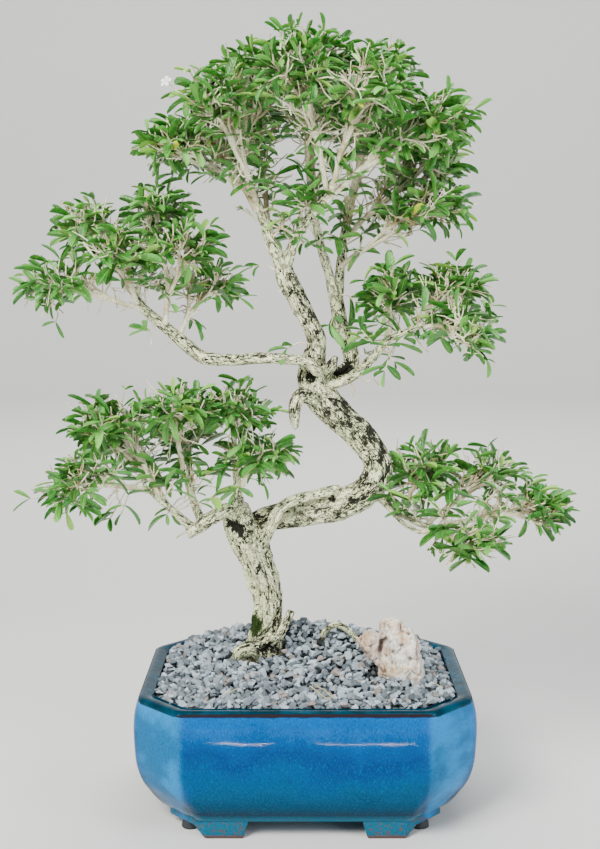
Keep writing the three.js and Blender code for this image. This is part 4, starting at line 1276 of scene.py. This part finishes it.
class BONSAI_OT_bloom(bpy.types.Operator):
    """Open the flower and shape the bud"""
    bl_idname = "bonsai.bloom"
    bl_label = "Flower and bud"

    def petal(self, angle):
        """One petal of the open flower, about one unit long, that rises and spreads from the throat."""
        bm = bmesh.new()
        bmesh.ops.create_uvsphere(bm, u_segments=12, v_segments=10, radius=0.5)
        for v in bm.verts:
            x, y, z = v.co
            across = x * 0.62 * (0.5 + 0.9 * (z + 0.5))
            notch = 0.16 * max(0.0, z) * math.exp(-(x / 0.14) ** 2)
            v.co = (across, z + 0.55 - notch, 0.1 * y + 0.2 * math.sqrt(max(0.0, z + 0.5))
                    - 0.18 * (z + 0.5) ** 2 + 0.5 * across ** 2)
        bmesh.ops.rotate(bm, verts=bm.verts, matrix=Matrix.Rotation(angle, 3, "Z"))
        return mesh_from(bm, "petal")

    def turned(self, bm, middle, axis, size):
        """Turn a form from +Z to an axis and put it, that many mm large, at its place."""
        turn = axis.normalized().to_track_quat("Z", "Y").to_matrix().to_4x4()
        matrix = Matrix.Translation(middle) @ turn @ Matrix.Scale(size * MM, 4)
        bmesh.ops.transform(bm, verts=bm.verts, matrix=matrix)

    def execute(self, context):
        white = petal_material()
        low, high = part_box("flower")
        bm = bmesh.new()
        for i in range(5):
            gather(bm, self.petal(i * math.tau / 5))
        bmesh.ops.create_cone(bm, cap_ends=True, segments=12, radius1=0.12, radius2=0.26, depth=0.9,
                              matrix=Matrix.Translation((0, 0, -0.35)))
        self.turned(bm, (low + high) / 2, Vector((-0.4, -0.8, 0.45)), 4.5)
        new_piece("open_flower", mesh_from(bm, "flower"), (white,), "petals", "flower")
        low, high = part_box("bud")
        bm = bmesh.new()
        bmesh.ops.create_uvsphere(bm, u_segments=14, v_segments=12, radius=0.5)
        for v in bm.verts:
            swell = 0.5 + 0.5 * (v.co.z + 0.5)
            v.co.x *= 0.55 * swell
            v.co.y *= 0.55 * swell
        self.turned(bm, (low + high) / 2, Vector((1, 0, 0.35)), 6.5)
        new_piece("closed_bud", mesh_from(bm, "bud"), (white,), "petals", "bud")
        return {"FINISHED"}


class BONSAI_OT_straw(bpy.types.Operator):
    """Drop a few dry stalks on the gravel"""
    bl_idname = "bonsai.straw"
    bl_label = "Straw"

    def execute(self, context):
        ground = solid_tree("gravel")
        lines = []
        for start, end in STALKS:
            line = []
            for k in range(7):
                spot = Vector((*start, 0)).lerp(Vector((*end, 0)), k / 6) * MM
                line.append((spot, seat_on(ground, spot.x, spot.y).z + 2.6 * MM))
            top = max(height for _, height in line)
            lines.append([(spot + UP * (0.4 * height + 0.6 * top), 0.5 * MM) for spot, height in line])
        mesh = tubes("straw", lines, 2)
        mesh.shade_smooth()
        new_piece("dry_stalks", mesh, (straw_material(),), "bark")
        return {"FINISHED"}


class BONSAI_OT_stage(bpy.types.Operator):
    """Set up the camera, the pale floor and the soft lights"""
    bl_idname = "bonsai.stage"
    bl_label = "Stage"

    def profile(self, reach, bend, height):
        """Half of the section through a round floor that curves up into a wall."""
        flat = [(reach * k / 6, 0.0) for k in range(7)]
        curve = [(reach + bend * math.sin(a), bend - bend * math.cos(a))
                 for a in (math.pi / 2 * k / 12 for k in range(1, 13))]
        return flat + curve + [(reach + bend, height)]

    def area(self, name, place, target, size, power, colour):
        """A soft lamp that the camera doesn't see."""
        light = bpy.data.lights.new(name, "AREA")
        light.shape = "RECTANGLE"
        light.size, light.size_y = size
        light.energy = power
        light.color = linear(colour)[:3]
        lamp = linked(name, light)
        lamp.location = place
        lamp.rotation_euler = (Vector(target) - Vector(place)).to_track_quat("-Z", "Y").to_euler()
        lamp.visible_camera = False

    def execute(self, context):
        stage = context.scene.bonsai_stage
        camera = linked("camera", bpy.data.cameras.new("camera"))
        camera.data.lens = 52.96
        camera.data.sensor_width = 36
        camera.location = (-0.004, -0.967, 0.431)
        camera.rotation_euler = (math.radians(90 - 7.62), 0, 0)
        context.scene.camera = camera
        bm = bmesh.new()
        rim = [bm.verts.new((x, 0, z)) for x, z in self.profile(3.0, 1.2, 3.5)]
        edges = [bm.edges.new(pair) for pair in zip(rim, rim[1:])]
        bmesh.ops.spin(bm, geom=rim + edges, cent=(0, 0, 0), axis=(0, 0, 1), dvec=(0, 0, 0),
                       angle=math.tau, steps=96)
        bmesh.ops.remove_doubles(bm, verts=bm.verts, dist=MM)
        bmesh.ops.recalc_face_normals(bm, faces=bm.faces)
        floor = linked("floor", mesh_from(bm, "floor"))
        floor.data.materials.append(floor_material(stage))
        world = bpy.data.worlds.new("soft_room")
        world.use_nodes = True
        background = world.node_tree.nodes["Background"]
        background.inputs["Color"].default_value = linear("#dfe4ea")
        background.inputs["Strength"].default_value = 0.35
        context.scene.world = world
        middle = (0, 0, 0.3)
        self.area("key", (-0.9, -1.2, 1.5), middle, (0.9, 0.9), stage.key, "#fffdf8")
        self.area("fill", (1.3, -1.0, 0.9), middle, (0.7, 1.2), stage.fill, "#eef4ff")
        self.area("top", (0.2, 0.5, 1.9), middle, (1.2, 1.2), 28, "#ffffff")
        self.area("backdrop", (0, 1.2, 2.0), (0, 4.2, 1.0), (3.0, 1.2), 90, "#ffffff")
        for x, length in ((-0.076, 0.06), (0.074, 0.115)):
            self.area("glint", (x, -0.36, 0.004), (x, -0.36, 1), (length, 0.012), 0.45, "#ffffff")
        return {"FINISHED"}


class BONSAI_PT_panel(bpy.types.Panel):
    """The pieces of the bonsai, in the order in which they are made"""
    bl_idname = "BONSAI_PT_panel"
    bl_label = "Bonsai"
    bl_space_type = "VIEW_3D"
    bl_region_type = "UI"
    bl_category = "Bonsai"

    def draw(self, context):
        for step in STEPS:
            self.layout.operator(step.bl_idname)
        for name, group in GROUPS.items():
            box = self.layout.box()
            for key in group.__annotations__:
                box.prop(getattr(context.scene, name), key)


GROUPS = {"bonsai_pot": BonsaiPot, "bonsai_gravel": BonsaiGravel, "bonsai_bark": BonsaiBark,
          "bonsai_foliage": BonsaiFoliage, "bonsai_stage": BonsaiStage}
STEPS = (BONSAI_OT_stage, BONSAI_OT_pot, BONSAI_OT_foot_pads, BONSAI_OT_soil, BONSAI_OT_gravel,
         BONSAI_OT_stone, BONSAI_OT_trunk, BONSAI_OT_sprays, BONSAI_OT_bloom, BONSAI_OT_straw)


def register():
    for item in (*GROUPS.values(), *STEPS, BONSAI_PT_panel):
        bpy.utils.register_class(item)
    for name, group in GROUPS.items():
        setattr(bpy.types.Scene, name, PointerProperty(type=group))


def unregister():
    for name in GROUPS:
        delattr(bpy.types.Scene, name)
    for item in reversed((*GROUPS.values(), *STEPS, BONSAI_PT_panel)):
        bpy.utils.unregister_class(item)


def main():
    register()
    for step in STEPS:
        getattr(bpy.ops.bonsai, step.bl_idname.split(".")[1])()


if __name__ == "__main__":
    main()
